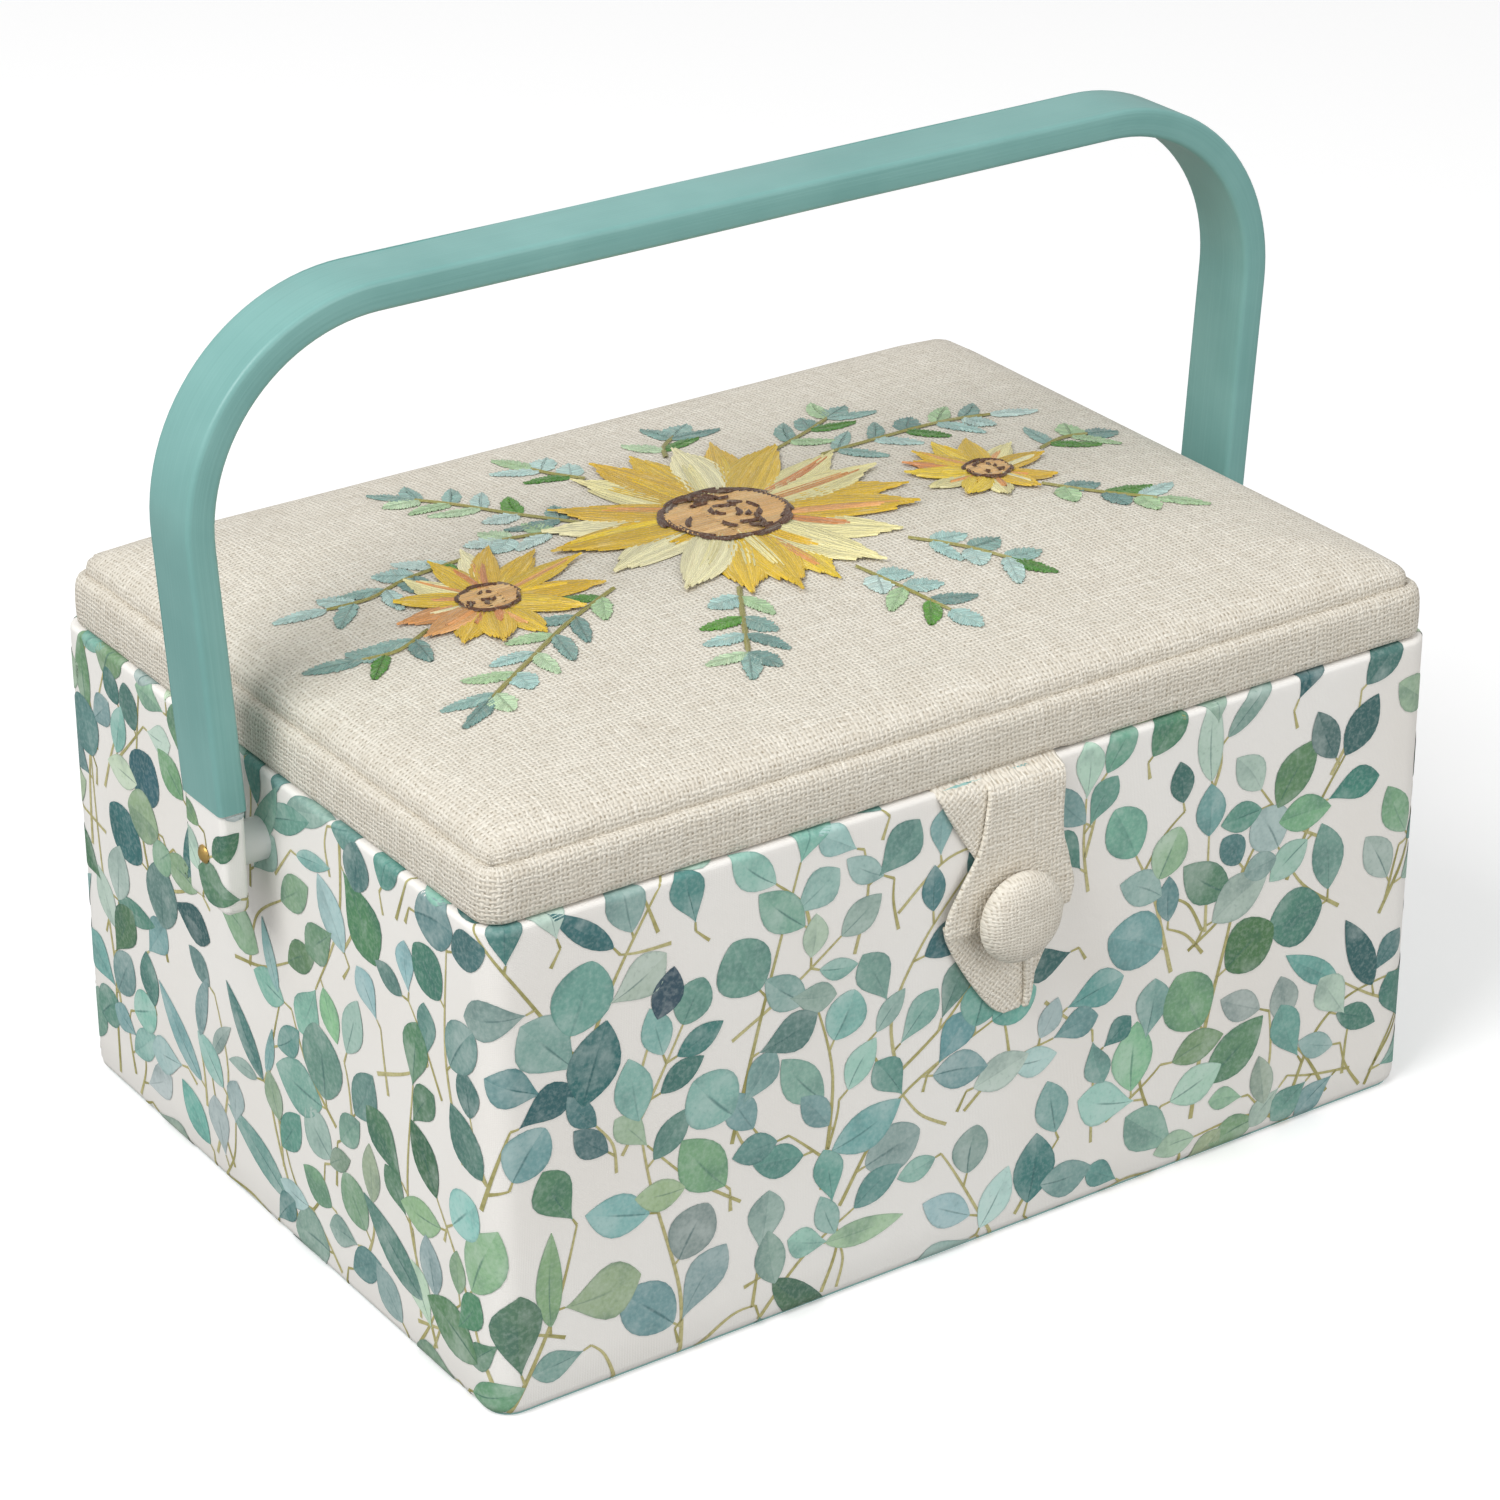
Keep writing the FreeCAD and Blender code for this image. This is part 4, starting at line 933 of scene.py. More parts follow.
    def family_at(s, z):
        place = noise.noise(Vector((s / 55, z / 45, 9.0)))
        family = GREENS + MINTS if place > 0.22 else AQUAS + GREYS if place > 0.02 else \
            TEALS + AQUAS if place > -0.2 else DEEP + TEALS
        cuts_here = noise.noise(Vector((s / 40, z / 40, 21.0)))
        kinds = round_ + oval if cuts_here > 0.15 else oval + drop if cuts_here > -0.15 else lance + drop
        return family, kinds

    case.fill(3200, family_at)
    return case.wrap("case_print", cuts, "case")


def make_foot(name, wall, body_node, seed, cuts):
    """Printed cotton wrapped round the foot of the handle, its top edge under the bow."""
    heights = [91.5, 98.0, 106.0, 113.5]
    profile = ([(90.05, -3.0)] + rounded_foot(wall) + [(z, 0.0) for z in heights]
               + [(114.7, -0.1), (115.05, -0.6), (115.1, -3.0)])

    def place(s, z, lift, where):
        x, y, nx, ny = round_the_wall(s, where)
        return x + nx * max(lift, -2.9), y + ny * lift, z

    cloth = strip_round(name, wall, profile, 3.0, place)
    close_ends(cloth)
    outward(cloth)
    smooth(cloth, 50)
    put(cloth, GROUND, "handle", (body_node,))
    leaves = LeafPrint(seed, wall, 90.4, 114.6)
    turn = 11.0 if wall[4] > 0 else -11.0
    leaves.sprig([(turn - 3, 88), (turn + 1, 104), (turn - 4, 118)], AQUAS + GREENS, ["oval"], 0.72, 8,
                 share=0.5)
    leaves.fill(60, lambda s, z: (AQUAS + GREYS + GREENS, ["oval", "drop"]))
    leaves.wrap(name.replace("cloth", "print"), cuts, "handle")


# ---------------------------------------------------------------- the handle

def make_handle():
    """The bent bow: one rounded flat section carried along two leaning legs, two bends and a crossbar."""
    top, bend, thick, wide = 229.5, 49.0, 7.0, 18.0
    lean, reach, foot, edge = math.radians(3.5), 144.4, 115.0, 1.3
    centre_z = top - bend
    drop = (centre_z - bend * math.sin(lean) - foot) / math.cos(lean)
    centre_x = reach - bend * math.cos(lean) + drop * math.sin(lean)
    path = []
    for i in range(9):
        along = drop * (1 - i / 8)
        path.append((centre_x + bend * math.cos(lean) - along * math.sin(lean),
                     centre_z - bend * math.sin(lean) - along * math.cos(lean), -lean))
    turns = 26
    for i in range(1, turns + 1):
        angle = -lean + (math.pi / 2 + lean) * i / turns
        path.append((centre_x + bend * math.cos(angle), centre_z + bend * math.sin(angle), angle))
    for i in range(1, 9):
        path.append((centre_x * (1 - i / 8), top, math.pi / 2))
    path += [(-x, z, math.pi - angle) for x, z, angle in reversed(path[:-1])]
    section = []
    for cx, cy, start in ((-edge, wide / 2 - edge, 0), (-thick + edge, wide / 2 - edge, 90),
                          (-thick + edge, -wide / 2 + edge, 180), (-edge, -wide / 2 + edge, 270)):
        for step in range(5):
            angle = math.radians(start + step * 22.5)
            section.append((cx + edge * math.cos(angle), cy + edge * math.sin(angle)))
    section.append(section[0])
    around = [0.0]
    for a, b in zip(section, section[1:]):
        around.append(around[-1] + math.dist(a, b))
    along = [0.0]
    for a, b in zip(path, path[1:]):
        along.append(along[-1] + math.dist(a[:2], b[:2]))

    def place(column, row):
        x, z, angle = path[column]
        out, y = section[row]
        wander = 0.18 * noise.noise(Vector((along[column] / 60, around[row] / 9, 1.0)))
        out += wander
        # the legs' ends are cut square with the ground
        level = foot if column in (0, len(path) - 1) else z + out * math.sin(angle)
        return (x + out * math.cos(angle), y, level), (along[column], around[row])

    bow = sheet_of_cloth("handle_bow_painted", len(path) - 1, len(section) - 1)
    lay_out(bow, len(path) - 1, len(section) - 1, place)
    outward(bow)
    close_ends(bow)
    smooth(bow, 50)
    return put(bow, PAINT, "handle", ("handle_bow",))


# ---------------------------------------------------------------- the lid

def make_band():
    """Linen folded round the lid's edge, turned under below and into the seam above."""
    profile = [(121.6, -7.0), (121.0, -5.6), (120.55, -3.0), (120.4, -1.3), (120.6, -0.4), (121.2, 0.0),
               (123.0, 0.1), (126.0, 0.15), (129.0, 0.05), (131.0, -0.25), (132.1, -0.8), (132.7, -1.6),
               (132.85, -2.5), (132.5, -3.3), (131.6, -3.9)]

    def place(s, z, lift, wall):
        x, y, nx, ny = round_the_wall(s, wall)
        ripple = 0.22 * noise.noise(Vector((x / 17, y / 17, z / 9))) * (1 if lift > -0.2 else 0.4)
        if -14.5 < x < 22.5 and y < -85 and z < 122:
            z = max(z, 121.0)
        # at the back it lies flat behind the hinges
        lift -= 1.1 * max(0.0, ny)
        return x + nx * (lift + ripple), y + ny * (lift + ripple), z + ripple * 0.3

    band = strip_round("lid_band_linen", LID, profile, 4.0, place)
    smooth(band, 70)
    return put(band, LINEN, "lid", ("lid_band",))


RISE = [(0.0, 0.0), (0.25, 1.9), (0.9, 3.9), (2.0, 5.4), (4.0, 6.9), (8.0, 8.5), (14.0, 9.8), (20.0, 10.7),
        (40.0, 12.4), (60.0, 13.4), (95.0, 14.1), (130.0, 14.2)]


def pad_rise(inside):
    """Height of the padded top over its seam at a distance inside the seam."""
    for (d0, h0), (d1, h1) in zip(RISE, RISE[1:]):
        if inside <= d1:
            return h0 + (h1 - h0) * max(0.0, inside - d0) / (d1 - d0)
    return RISE[-1][1]


def make_top():
    """The padded linen top: a sheet drawn down to its seam, then blown out a little by its wadding."""
    half_x, half_y, corner, seam = 125.7, 91.2, 4.6, 130.7
    near = [0.0, 0.12, 0.45, 1.0, 1.9, 3.2, 5.0, 7.4, 10.4]

    def rows(half):
        middle = half - near[-1]
        count = 2 * round(middle / 2.3)
        return ([-half + d for d in near] + [-middle + 2 * middle * i / count for i in range(1, count)]
                + [half - d for d in reversed(near)])

    xs, ys = rows(half_x), rows(half_y)

    def arc_out(distance):
        """Length of cloth from the seam to a distance inside it."""
        length = 0.0
        for (d0, h0), (d1, h1) in zip(RISE, RISE[1:]):
            step = min(distance, d1) - d0
            if step <= 0:
                break
            length += math.hypot(step, (h1 - h0) * step / (d1 - d0))
        return length

    full_x, full_y = arc_out(half_x), arc_out(half_y)

    def place(column, row):
        x, y = xs[column], ys[row]
        dx, dy = half_x - abs(x), half_y - abs(y)
        u = math.copysign(full_x - arc_out(dx), x)
        v = math.copysign(full_y - arc_out(dy), y)
        # round the corner: points past the corner's circle come in along its radius
        px, py = abs(x), abs(y)
        if dx < corner and dy < corner:
            ox, oy = px - (half_x - corner), py - (half_y - corner)
            far, square = math.hypot(ox, oy), max(ox, oy)
            if far > 1e-6:
                px = half_x - corner + ox * square / far
                py = half_y - corner + oy * square / far
            inside = corner - square
        else:
            inside = min(dx, dy)
        # a soft union of the two slopes keeps the shoulder full but the corner low
        other = max(dx, dy)
        height = pad_rise(inside) - 0.9 * max(0.0, 1 - other / 16) * min(1.0, inside / 3)
        crease = max(0.0, 1 - abs(dx - dy) / 1.2) * max(0.0, 1 - inside / 9)
        height -= 0.5 * crease * min(1.0, inside / 1.2)
        swell = 1.0 * math.sin(math.pi * min(1.0, height / 9.5)) if inside < 4 else 0.0
        px += swell * (1.0 if dx <= dy + 2 else 0.0) * max(0.0, 1 - dx / 5)
        py += swell * (1.0 if dy <= dx + 2 else 0.0) * max(0.0, 1 - dy / 5)
        hills = 0.16 * noise.noise(Vector((x / 19, y / 19, 2.0))) * min(1.0, inside / 10)
        return (math.copysign(px, x), math.copysign(py, y), seam + 1.0 + height - 0.9 * min(1.0, inside / 30)
                + hills), (u, v)

    top = sheet_of_cloth("lid_top_linen", len(xs) - 1, len(ys) - 1)
    lay_out(top, len(xs) - 1, len(ys) - 1, place)
    seam_points = top.vertex_groups.new(name="seam")
    held = []
    for vertex in top.data.vertices:
        inside = min(half_x - abs(vertex.co.x) / MM, half_y - abs(vertex.co.y) / MM)
        if inside < 8:
            held.append(vertex.index)
    seam_points.add(held, 1.0, "REPLACE")
    blow_out(top, pressure=1.6, cap=1.5, pinned="seam")
    top.vertex_groups.clear()
    # the seam allowance goes down into the crease and in over the board
    pick(top, "EDGE", lambda e: e.is_boundary)
    bpy.ops.mesh.extrude_edges_move(TRANSFORM_OT_translate={"value": (0, 0, -1.2 * MM)})
    bpy.ops.mesh.extrude_edges_move(TRANSFORM_OT_translate={"value": (0, 0, -0.2 * MM)})
    bpy.ops.transform.resize(value=(0.985, 0.98, 1), center_override=(0, 0, 0))
    bpy.ops.mesh.select_all(action="SELECT")
    bpy.ops.mesh.normals_make_consistent(inside=False)
    leave_edit()
    smooth(top, 60)
    put(top, LINEN, "lid", ("lid_cover", "lid_pad"))
    return top


def blow_out(obj, pressure, cap, pinned=None, frames=20):
    """Cloth with air in it, held at its seam; no point goes further than cap millimetres."""
    scene = bpy.context.scene
    start = [v.co.copy() for v in obj.data.vertices]
    only(obj)
    cloth = obj.modifiers.new("cloth", "CLOTH")
    settings = cloth.settings
    settings.quality = 5
    settings.mass = 0.25
    settings.tension_stiffness = settings.compression_stiffness = 20
    settings.bending_stiffness = 2.0
    settings.use_pressure = True
    settings.uniform_pressure_force = pressure
    settings.effector_weights.gravity = 0
    if pinned:
        settings.vertex_group_mass = pinned
    cloth.point_cache.frame_start, cloth.point_cache.frame_end = 1, frames
    for number in range(1, frames + 1):
        scene.frame_set(number)
    bpy.ops.object.modifier_apply(modifier="cloth")
    for vertex, old in zip(obj.data.vertices, start):
        moved = vertex.co - old
        if moved.length > cap * MM:
            vertex.co = old + moved.normalized() * cap * MM
    scene.frame_set(1)


# ---------------------------------------------------------------- embroidery

YELLOWS = [(228, 190, 34), (220, 178, 30), (234, 202, 52), (224, 184, 38)]
ORANGES = [(222, 154, 88), (230, 168, 102), (214, 140, 80)]
CREAMS = [(238, 228, 166), (242, 234, 186)]
THREAD_TEALS = [(124, 162, 154), (142, 180, 172), (110, 149, 143)]
THREAD_AQUAS = [(182, 213, 207), (166, 203, 197), (196, 221, 215)]
THREAD_MINTS = [(170, 203, 156), (188, 216, 176)]
THREAD_GREENS = [(66, 134, 34), (82, 150, 40)]
THREAD_STEM = (152, 146, 74)
BROWN = (84, 42, 12)
STRAND = 6


class Needle:
    """Sews on the lid's linen with bundles of thread laid side by side, each a copy of one strand."""

    def __init__(self, ground, seed):
        self.tree = BVHTree.FromObject(ground, bpy.context.evaluated_depsgraph_get())
        self.dice = random.Random(seed)
        self.strand = sheet_of_cloth("strand", STRAND, 2)
        self.grid = [(round((v.co.x + 1) / 2 * STRAND), round(v.co.y)) for v in self.strand.data.vertices]
        self.corners = [loop.vertex_index for loop in self.strand.data.loops]
        self.parts = []

    def height(self, x, y):
        hit = self.tree.ray_cast(Vector((x * MM, y * MM, 0.2)), Vector((0, 0, -1)))[0]
        return hit.z / MM if hit else 132.0

    def stitch(self, track, wide, rgb, layer, dome=0.4):
        """A bundle of thread along STRAND + 1 points: narrow at its ends, round on top."""
        mesh = self.strand.data.copy()
        start, step = self.dice.uniform(0, 60), math.dist(track[0], track[-1]) / STRAND
        tone = self.dice.uniform(0.93, 1.06)
        places, cloth = [], []
        for column, side in self.grid:
            a, b = track[max(0, column - 1)], track[min(STRAND, column + 1)]
            dx, dy = b[0] - a[0], b[1] - a[1]
            long, t = math.hypot(dx, dy) or 1.0, column / STRAND
            half = side * wide / 2 * min(1.0, 0.5 + 3 * t, 0.35 + 3 * (1 - t))
            x, y = track[column][0] - dy / long * half, track[column][1] + dx / long * half
            places += [x * MM, y * MM, (self.height(x, y) + layer + dome * (1 - abs(side))) * MM]
            cloth.append((start + column * step, start + half))
        mesh.vertices.foreach_set("co", places)
        mesh.uv_layers[0].data.foreach_set(
            "uv", [number for corner in self.corners for number in cloth[corner]])
        sewn = bpy.data.objects.new("sewn", mesh)
        bpy.context.scene.collection.objects.link(sewn)
        tint(sewn, colour(*[min(255, part * tone) for part in rgb], self.dice.random()))
        self.parts.append(sewn)

    def straight(self, start, end, wide, rgb, layer, dome=0.3):
        track = [(start[0] + (end[0] - start[0]) * i / STRAND, start[1] + (end[1] - start[1]) * i / STRAND)
                 for i in range(STRAND + 1)]
        self.stitch(track, wide, rgb, layer, dome)

    def petal(self, centre, inner, tip, width, rgb, layer):
        """Long threads side by side drawn together to a ragged tip, with a second colour laid over them."""
        heading = math.atan2(tip[1] - centre[1], tip[0] - centre[0])
        cos, sin = math.cos(heading), math.sin(heading)
        length = math.dist(centre, tip) - inner
        bend = self.dice.uniform(-0.05, 0.05) * length

        def thread(side, first, last, wide, tone, over):
            track = []
            for i in range(STRAND + 1):
                t = first + (last - first) * i / STRAND
                full = max(0.1, math.sin(math.pi * min(1.0, 0.22 + 0.78 * t) ** 0.9)) ** 0.8
                along = inner + t * length
                across = side * width / 2 * full + bend * math.sin(math.pi * t)
                track.append((centre[0] + along * cos - across * sin, centre[1] + along * sin + across * cos))
            self.stitch(track, wide, tone, over)

        count = max(5, round(width / 1.1))
        for k in range(count):
            side = (k + 0.5) / count * 2 - 1
            thread(side, self.dice.uniform(0.0, 0.05),
                   1 - 0.22 * abs(side) ** 1.4 - self.dice.uniform(0.0, 0.1),
                   width / count * 1.6, rgb, layer + 0.4 * (1 - side * side) + self.dice.uniform(0.0, 0.15))
        second = self.dice.choice(ORANGES if self.dice.random() < 0.55 else CREAMS + YELLOWS)
        middle, reach = self.dice.uniform(-0.4, 0.4), self.dice.uniform(0.45, 0.9)
        for side in (middle - 0.15, middle, middle + 0.15)[:3 if width > 10 else 2]:
            thread(side, self.dice.uniform(0.0, 0.15), reach - self.dice.uniform(0.0, 0.15),
                   width / count * 1.3, second, layer + 0.62)

    def leaf(self, base, tip, width, rgb, layer=0.12):
        """Short slanted stitches out from the midrib to both sides, which give the leaf its toothed edge."""
        heading = math.atan2(tip[1] - base[1], tip[0] - base[0])
        cos, sin, length = math.cos(heading), math.sin(heading), math.dist(base, tip)
        bend = self.dice.uniform(-0.06, 0.06) * length

        def spot(t, side):
            along = t * length
            across = (side * width / 2 * max(0.0, math.sin(math.pi * t ** 0.85)) ** 0.7
                      + bend * math.sin(math.pi * t))
            return base[0] + along * cos - across * sin, base[1] + along * sin + across * cos

        count = max(5, round(length / 1.1))
        for k in range(count):
            t = (k + 0.3) / count * 0.88
            for way in (-1, 1):
                self.straight(spot(t, 0.0), spot(min(0.99, t + 0.14 + self.dice.uniform(0.0, 0.05)),
                                                 way * self.dice.uniform(0.86, 1.06)),
                              length / count * 1.35, rgb, layer + self.dice.uniform(0.0, 0.14))
        self.straight(spot(0.0, 0.0), spot(1.0, 0.0), 0.7, [part * 0.86 for part in rgb], layer + 0.2)

    def line(self, points, wide, rgb, layer=0.1):
        """A line of stem stitch: a round cord through the points."""
        track = grown(points, 5)
        count = len(track) - 1
        ribbon = sheet_of_cloth("sewn", count, 2)

        def place(column, row):
            a, b = track[max(0, column - 1)], track[min(count, column + 1)]
            dx, dy = b[0] - a[0], b[1] - a[1]
            long = math.hypot(dx, dy) or 1.0
            side = (row - 1) * wide / 2 * (1.0 if column < count else 0.4)
            x, y = track[column][0] - dy / long * side, track[column][1] + dx / long * side
            return (x, y, self.height(x, y) + layer + (0.45 if row == 1 else 0.0)), (column * 1.2, side * 1.4)

        lay_out(ribbon, count, 2, place)
        tint(ribbon, colour(*rgb, self.dice.random()))
        self.parts.append(ribbon)

    def sprig(self, points, family, green_at=None, size=1.0):
        """A stem with slender and rounded leaves by turns, one of them bright green."""
        self.line(points, 1.3, THREAD_STEM, 0.3)
        track = grown(points, 6)
        walked, wanted, count = 0.0, 4.0, 0

        def hang(at, lean, number):
            green = number == green_at
            rgb = self.dice.choice(THREAD_GREENS if green else family)
            slender = green or self.dice.random() < 0.6
            length = (self.dice.uniform(11.0, 14.0) if slender else self.dice.uniform(8.5, 10.0)) * size
            width = (self.dice.uniform(4.2, 5.2) if slender else self.dice.uniform(6.4, 7.4)) * size
            self.leaf(at, (at[0] + length * math.cos(lean), at[1] + length * math.sin(lean)), width, rgb)

        for a, b in zip(track, track[1:]):
            walked += math.dist(a, b)
            if walked < wanted:
                continue
            wanted = walked + 8.0 * size
            heading = math.atan2(b[1] - a[1], b[0] - a[0])
            for way in (-1, 1):
                hang(b, heading + way * math.radians(self.dice.uniform(36, 62)), count)
                count += 1
        end, before = track[-1], track[-3]
        hang(end, math.atan2(end[1] - before[1], end[0] - before[0]), "tip")

    def heart(self, centre, radius, wide):
        """The tan middle, filled to and fro, with its broken brown ring and short curled strokes."""
        big = radius > 10
        rows = round(radius * 2 * wide / 1.3)
        for k in range(rows):
            side = (k + 0.5) / rows * 2 - 1
            half = radius * math.sqrt(1 - side * side)
            y = centre[1] + side * radius * wide
            for low, high in ((-1.0, -0.3), (-0.35, 0.35), (0.3, 1.0)):
                self.straight((centre[0] + half * low, y), (centre[0] + half * high, y), 1.9,
                              self.dice.choice([(230, 182, 116), (236, 192, 128), (222, 172, 106)]),
                              0.9 + 0.8 * (1 - side * side))

        def arc(middle, half_turn, far, thick, rgb, layer, squeeze):
            track = []
            for i in range(STRAND + 1):
                angle = middle + half_turn * (2 * i / STRAND - 1)
                r = radius * far * (1 + squeeze * (2 * i / STRAND - 1))
                track.append((centre[0] + r * math.cos(angle), centre[1] + r * wide * math.sin(angle)))
            self.stitch(track, thick, rgb, layer, 0.5)

        for k in range(22 if big else 12):
            arc(2 * math.pi * k / (22 if big else 12), 0.26, self.dice.uniform(0.93, 1.06),
                self.dice.uniform(1.7, 2.6) if big else 1.3, BROWN, 1.5, self.dice.uniform(-0.05, 0.05))
        for _ in range(26 if big else 7):
            far = math.sqrt(self.dice.uniform(0.02, 0.74))
            arc(self.dice.uniform(0, 2 * math.pi), self.dice.uniform(0.08, 0.16) / far, far,
                1.5 if big else 1.0, BROWN, 1.95, self.dice.uniform(-0.22, 0.22))

    def finish(self, name):
        sewn = join(self.parts, name)
        bpy.data.objects.remove(self.strand)
        smooth(sewn, 60)
        return put(sewn, THREAD, "lid")


def embroider(top):
    """A large sunflower between two small ones, with sprays of small leaves."""
    needle = Needle(top, 5)
    pale, mint = THREAD_TEALS + THREAD_AQUAS, THREAD_MINTS + THREAD_AQUAS
    mixed = THREAD_TEALS + THREAD_AQUAS + THREAD_MINTS
    sprays = [
        ([(-30, 24), (-40, 40), (-46, 52), (-52, 62)], mixed, 2),
        ([(-34, 20), (-42, 24), (-50, 26)], mint, None),
        ([(-62, 22), (-79, 21), (-90, 18), (-100, 20)], mixed, 1),
        ([(-44, -12), (-62, -21), (-78, -31), (-94, -41)], mixed, 0),
        ([(-20, -27), (-29, -42), (-36, -54)], mixed, 2), ([(-13, 48), (-17, 56), (-19, 63)], mint, 1),
        ([(10, 48), (14, 55), (20, 60)], mixed, 0), ([(34, 36), (46, 41), (56, 46)], mixed, 2),
        ([(40, 26), (60, 27), (79, 28), (92, 27)], mixed, 4), ([(74, -17), (82, -27), (93, -37)], mixed, 3),
        ([(28, -26), (36, -36), (42, -47)], pale, "tip"), ([(9, -32), (12, -46), (15, -60)], mixed, 4),
        ([(88, 2), (98, 6), (106, 6)], mixed, 0),
        ([(-88, -4), (-98, -8), (-106, -6)], pale, 3),
    ]
    for points, family, green_at in sprays:
        needle.sprig(points, family, green_at)
    left_tips = [(-89, 13), (-80, 21), (-71, 25), (-61, 27), (-54, 25), (-47, 16), (-40, 7), (-43, -9),
                 (-54, -18), (-68, -24), (-79, -22), (-86, -16), (-92, -8), (-93, 2)]
    right_tips = [(58, 14), (66, 18), (75, 15), (84, 8), (87, -2), (82, -15), (72, -20), (62, -20),
                  (53, -15), (47, -6), (48, 4), (52, 10)]
    large_tips = [(-8, 56), (-17, 50), (-33, 34), (-43, 25), (-47, 12), (-41, -6), (-33, -24), (-20, -33),
                  (-9, -37), (2, -37), (17, -35), (31, -23), (44, -14), (47, -2), (48, 12), (45, 26),
                  (36, 38), (24, 50), (14, 52), (3, 55)]
    for centre, tips, inner, width, radius in (((-70, -1), left_tips, 3.5, 8.0, 7.0),
                                               ((67, -5), right_tips, 3.0, 7.0, 5.6),
                                               ((-1, 6), large_tips, 8.0, 13.5, 15.0)):
        for turn in (1, 0):
            for index in range(len(tips)):
                if index % 2 == turn:
                    plain = needle.dice.random() < (0.86 if turn == 0 else 0.55)
                    family = YELLOWS if plain else \
                        CREAMS if radius > 10 or needle.dice.random() < 0.4 else ORANGES
                    needle.petal(centre, inner, tips[index], width * needle.dice.uniform(0.85, 1.1),
                                 needle.dice.choice(family), 0.2 + (0.35 if turn == 0 else 0.0))
        needle.heart(centre, radius, 0.94)
    return needle.finish("lid_embroidery")


# ---------------------------------------------------------------- closure

def cloth_plate(name, left, right, heights, columns, front, thick, weave_turn=0.0):
    """A folded strip hanging on the case's front: left and right edges by height, and its front face's y."""
    levels = []
    for (z0, a0, b0), (z1, a1, b1) in zip(zip(heights, left, right), zip(heights[1:], left[1:], right[1:])):
        for i in range(4):
            t = i / 4
            levels.append((z0 + (z1 - z0) * t, a0 + (a1 - a0) * t, b0 + (b1 - b0) * t))
    levels.append((heights[-1], left[-1], right[-1]))
    # rounding off the straight runs between the given heights
    for _ in range(3):
        levels = [levels[0]] + [tuple((p + 2 * q + r) / 4 for p, q, r in zip(*trio))
                                for trio in zip(levels, levels[1:], levels[2:])] + [levels[-1]]
    rows = len(levels) - 1
    plate = sheet_of_cloth(name, columns, rows)

    def place(column, row):
        z, low, high = levels[row]
        t = column / columns
        x = low + (high - low) * t
        u = x * math.cos(weave_turn) - z * math.sin(weave_turn)
        v = x * math.sin(weave_turn) + z * math.cos(weave_turn)
        return (x, front(x, z), z), (u, v)

    lay_out(plate, columns, rows, place)
    face_down(plate, 1)
    thicken(plate, thick)
    bevel(plate, lambda e: len(e.link_faces) == 2 and e.calc_face_angle(0) > 0.9, 0.42 * thick, 3)
    smooth(plate, 60)
    return plate


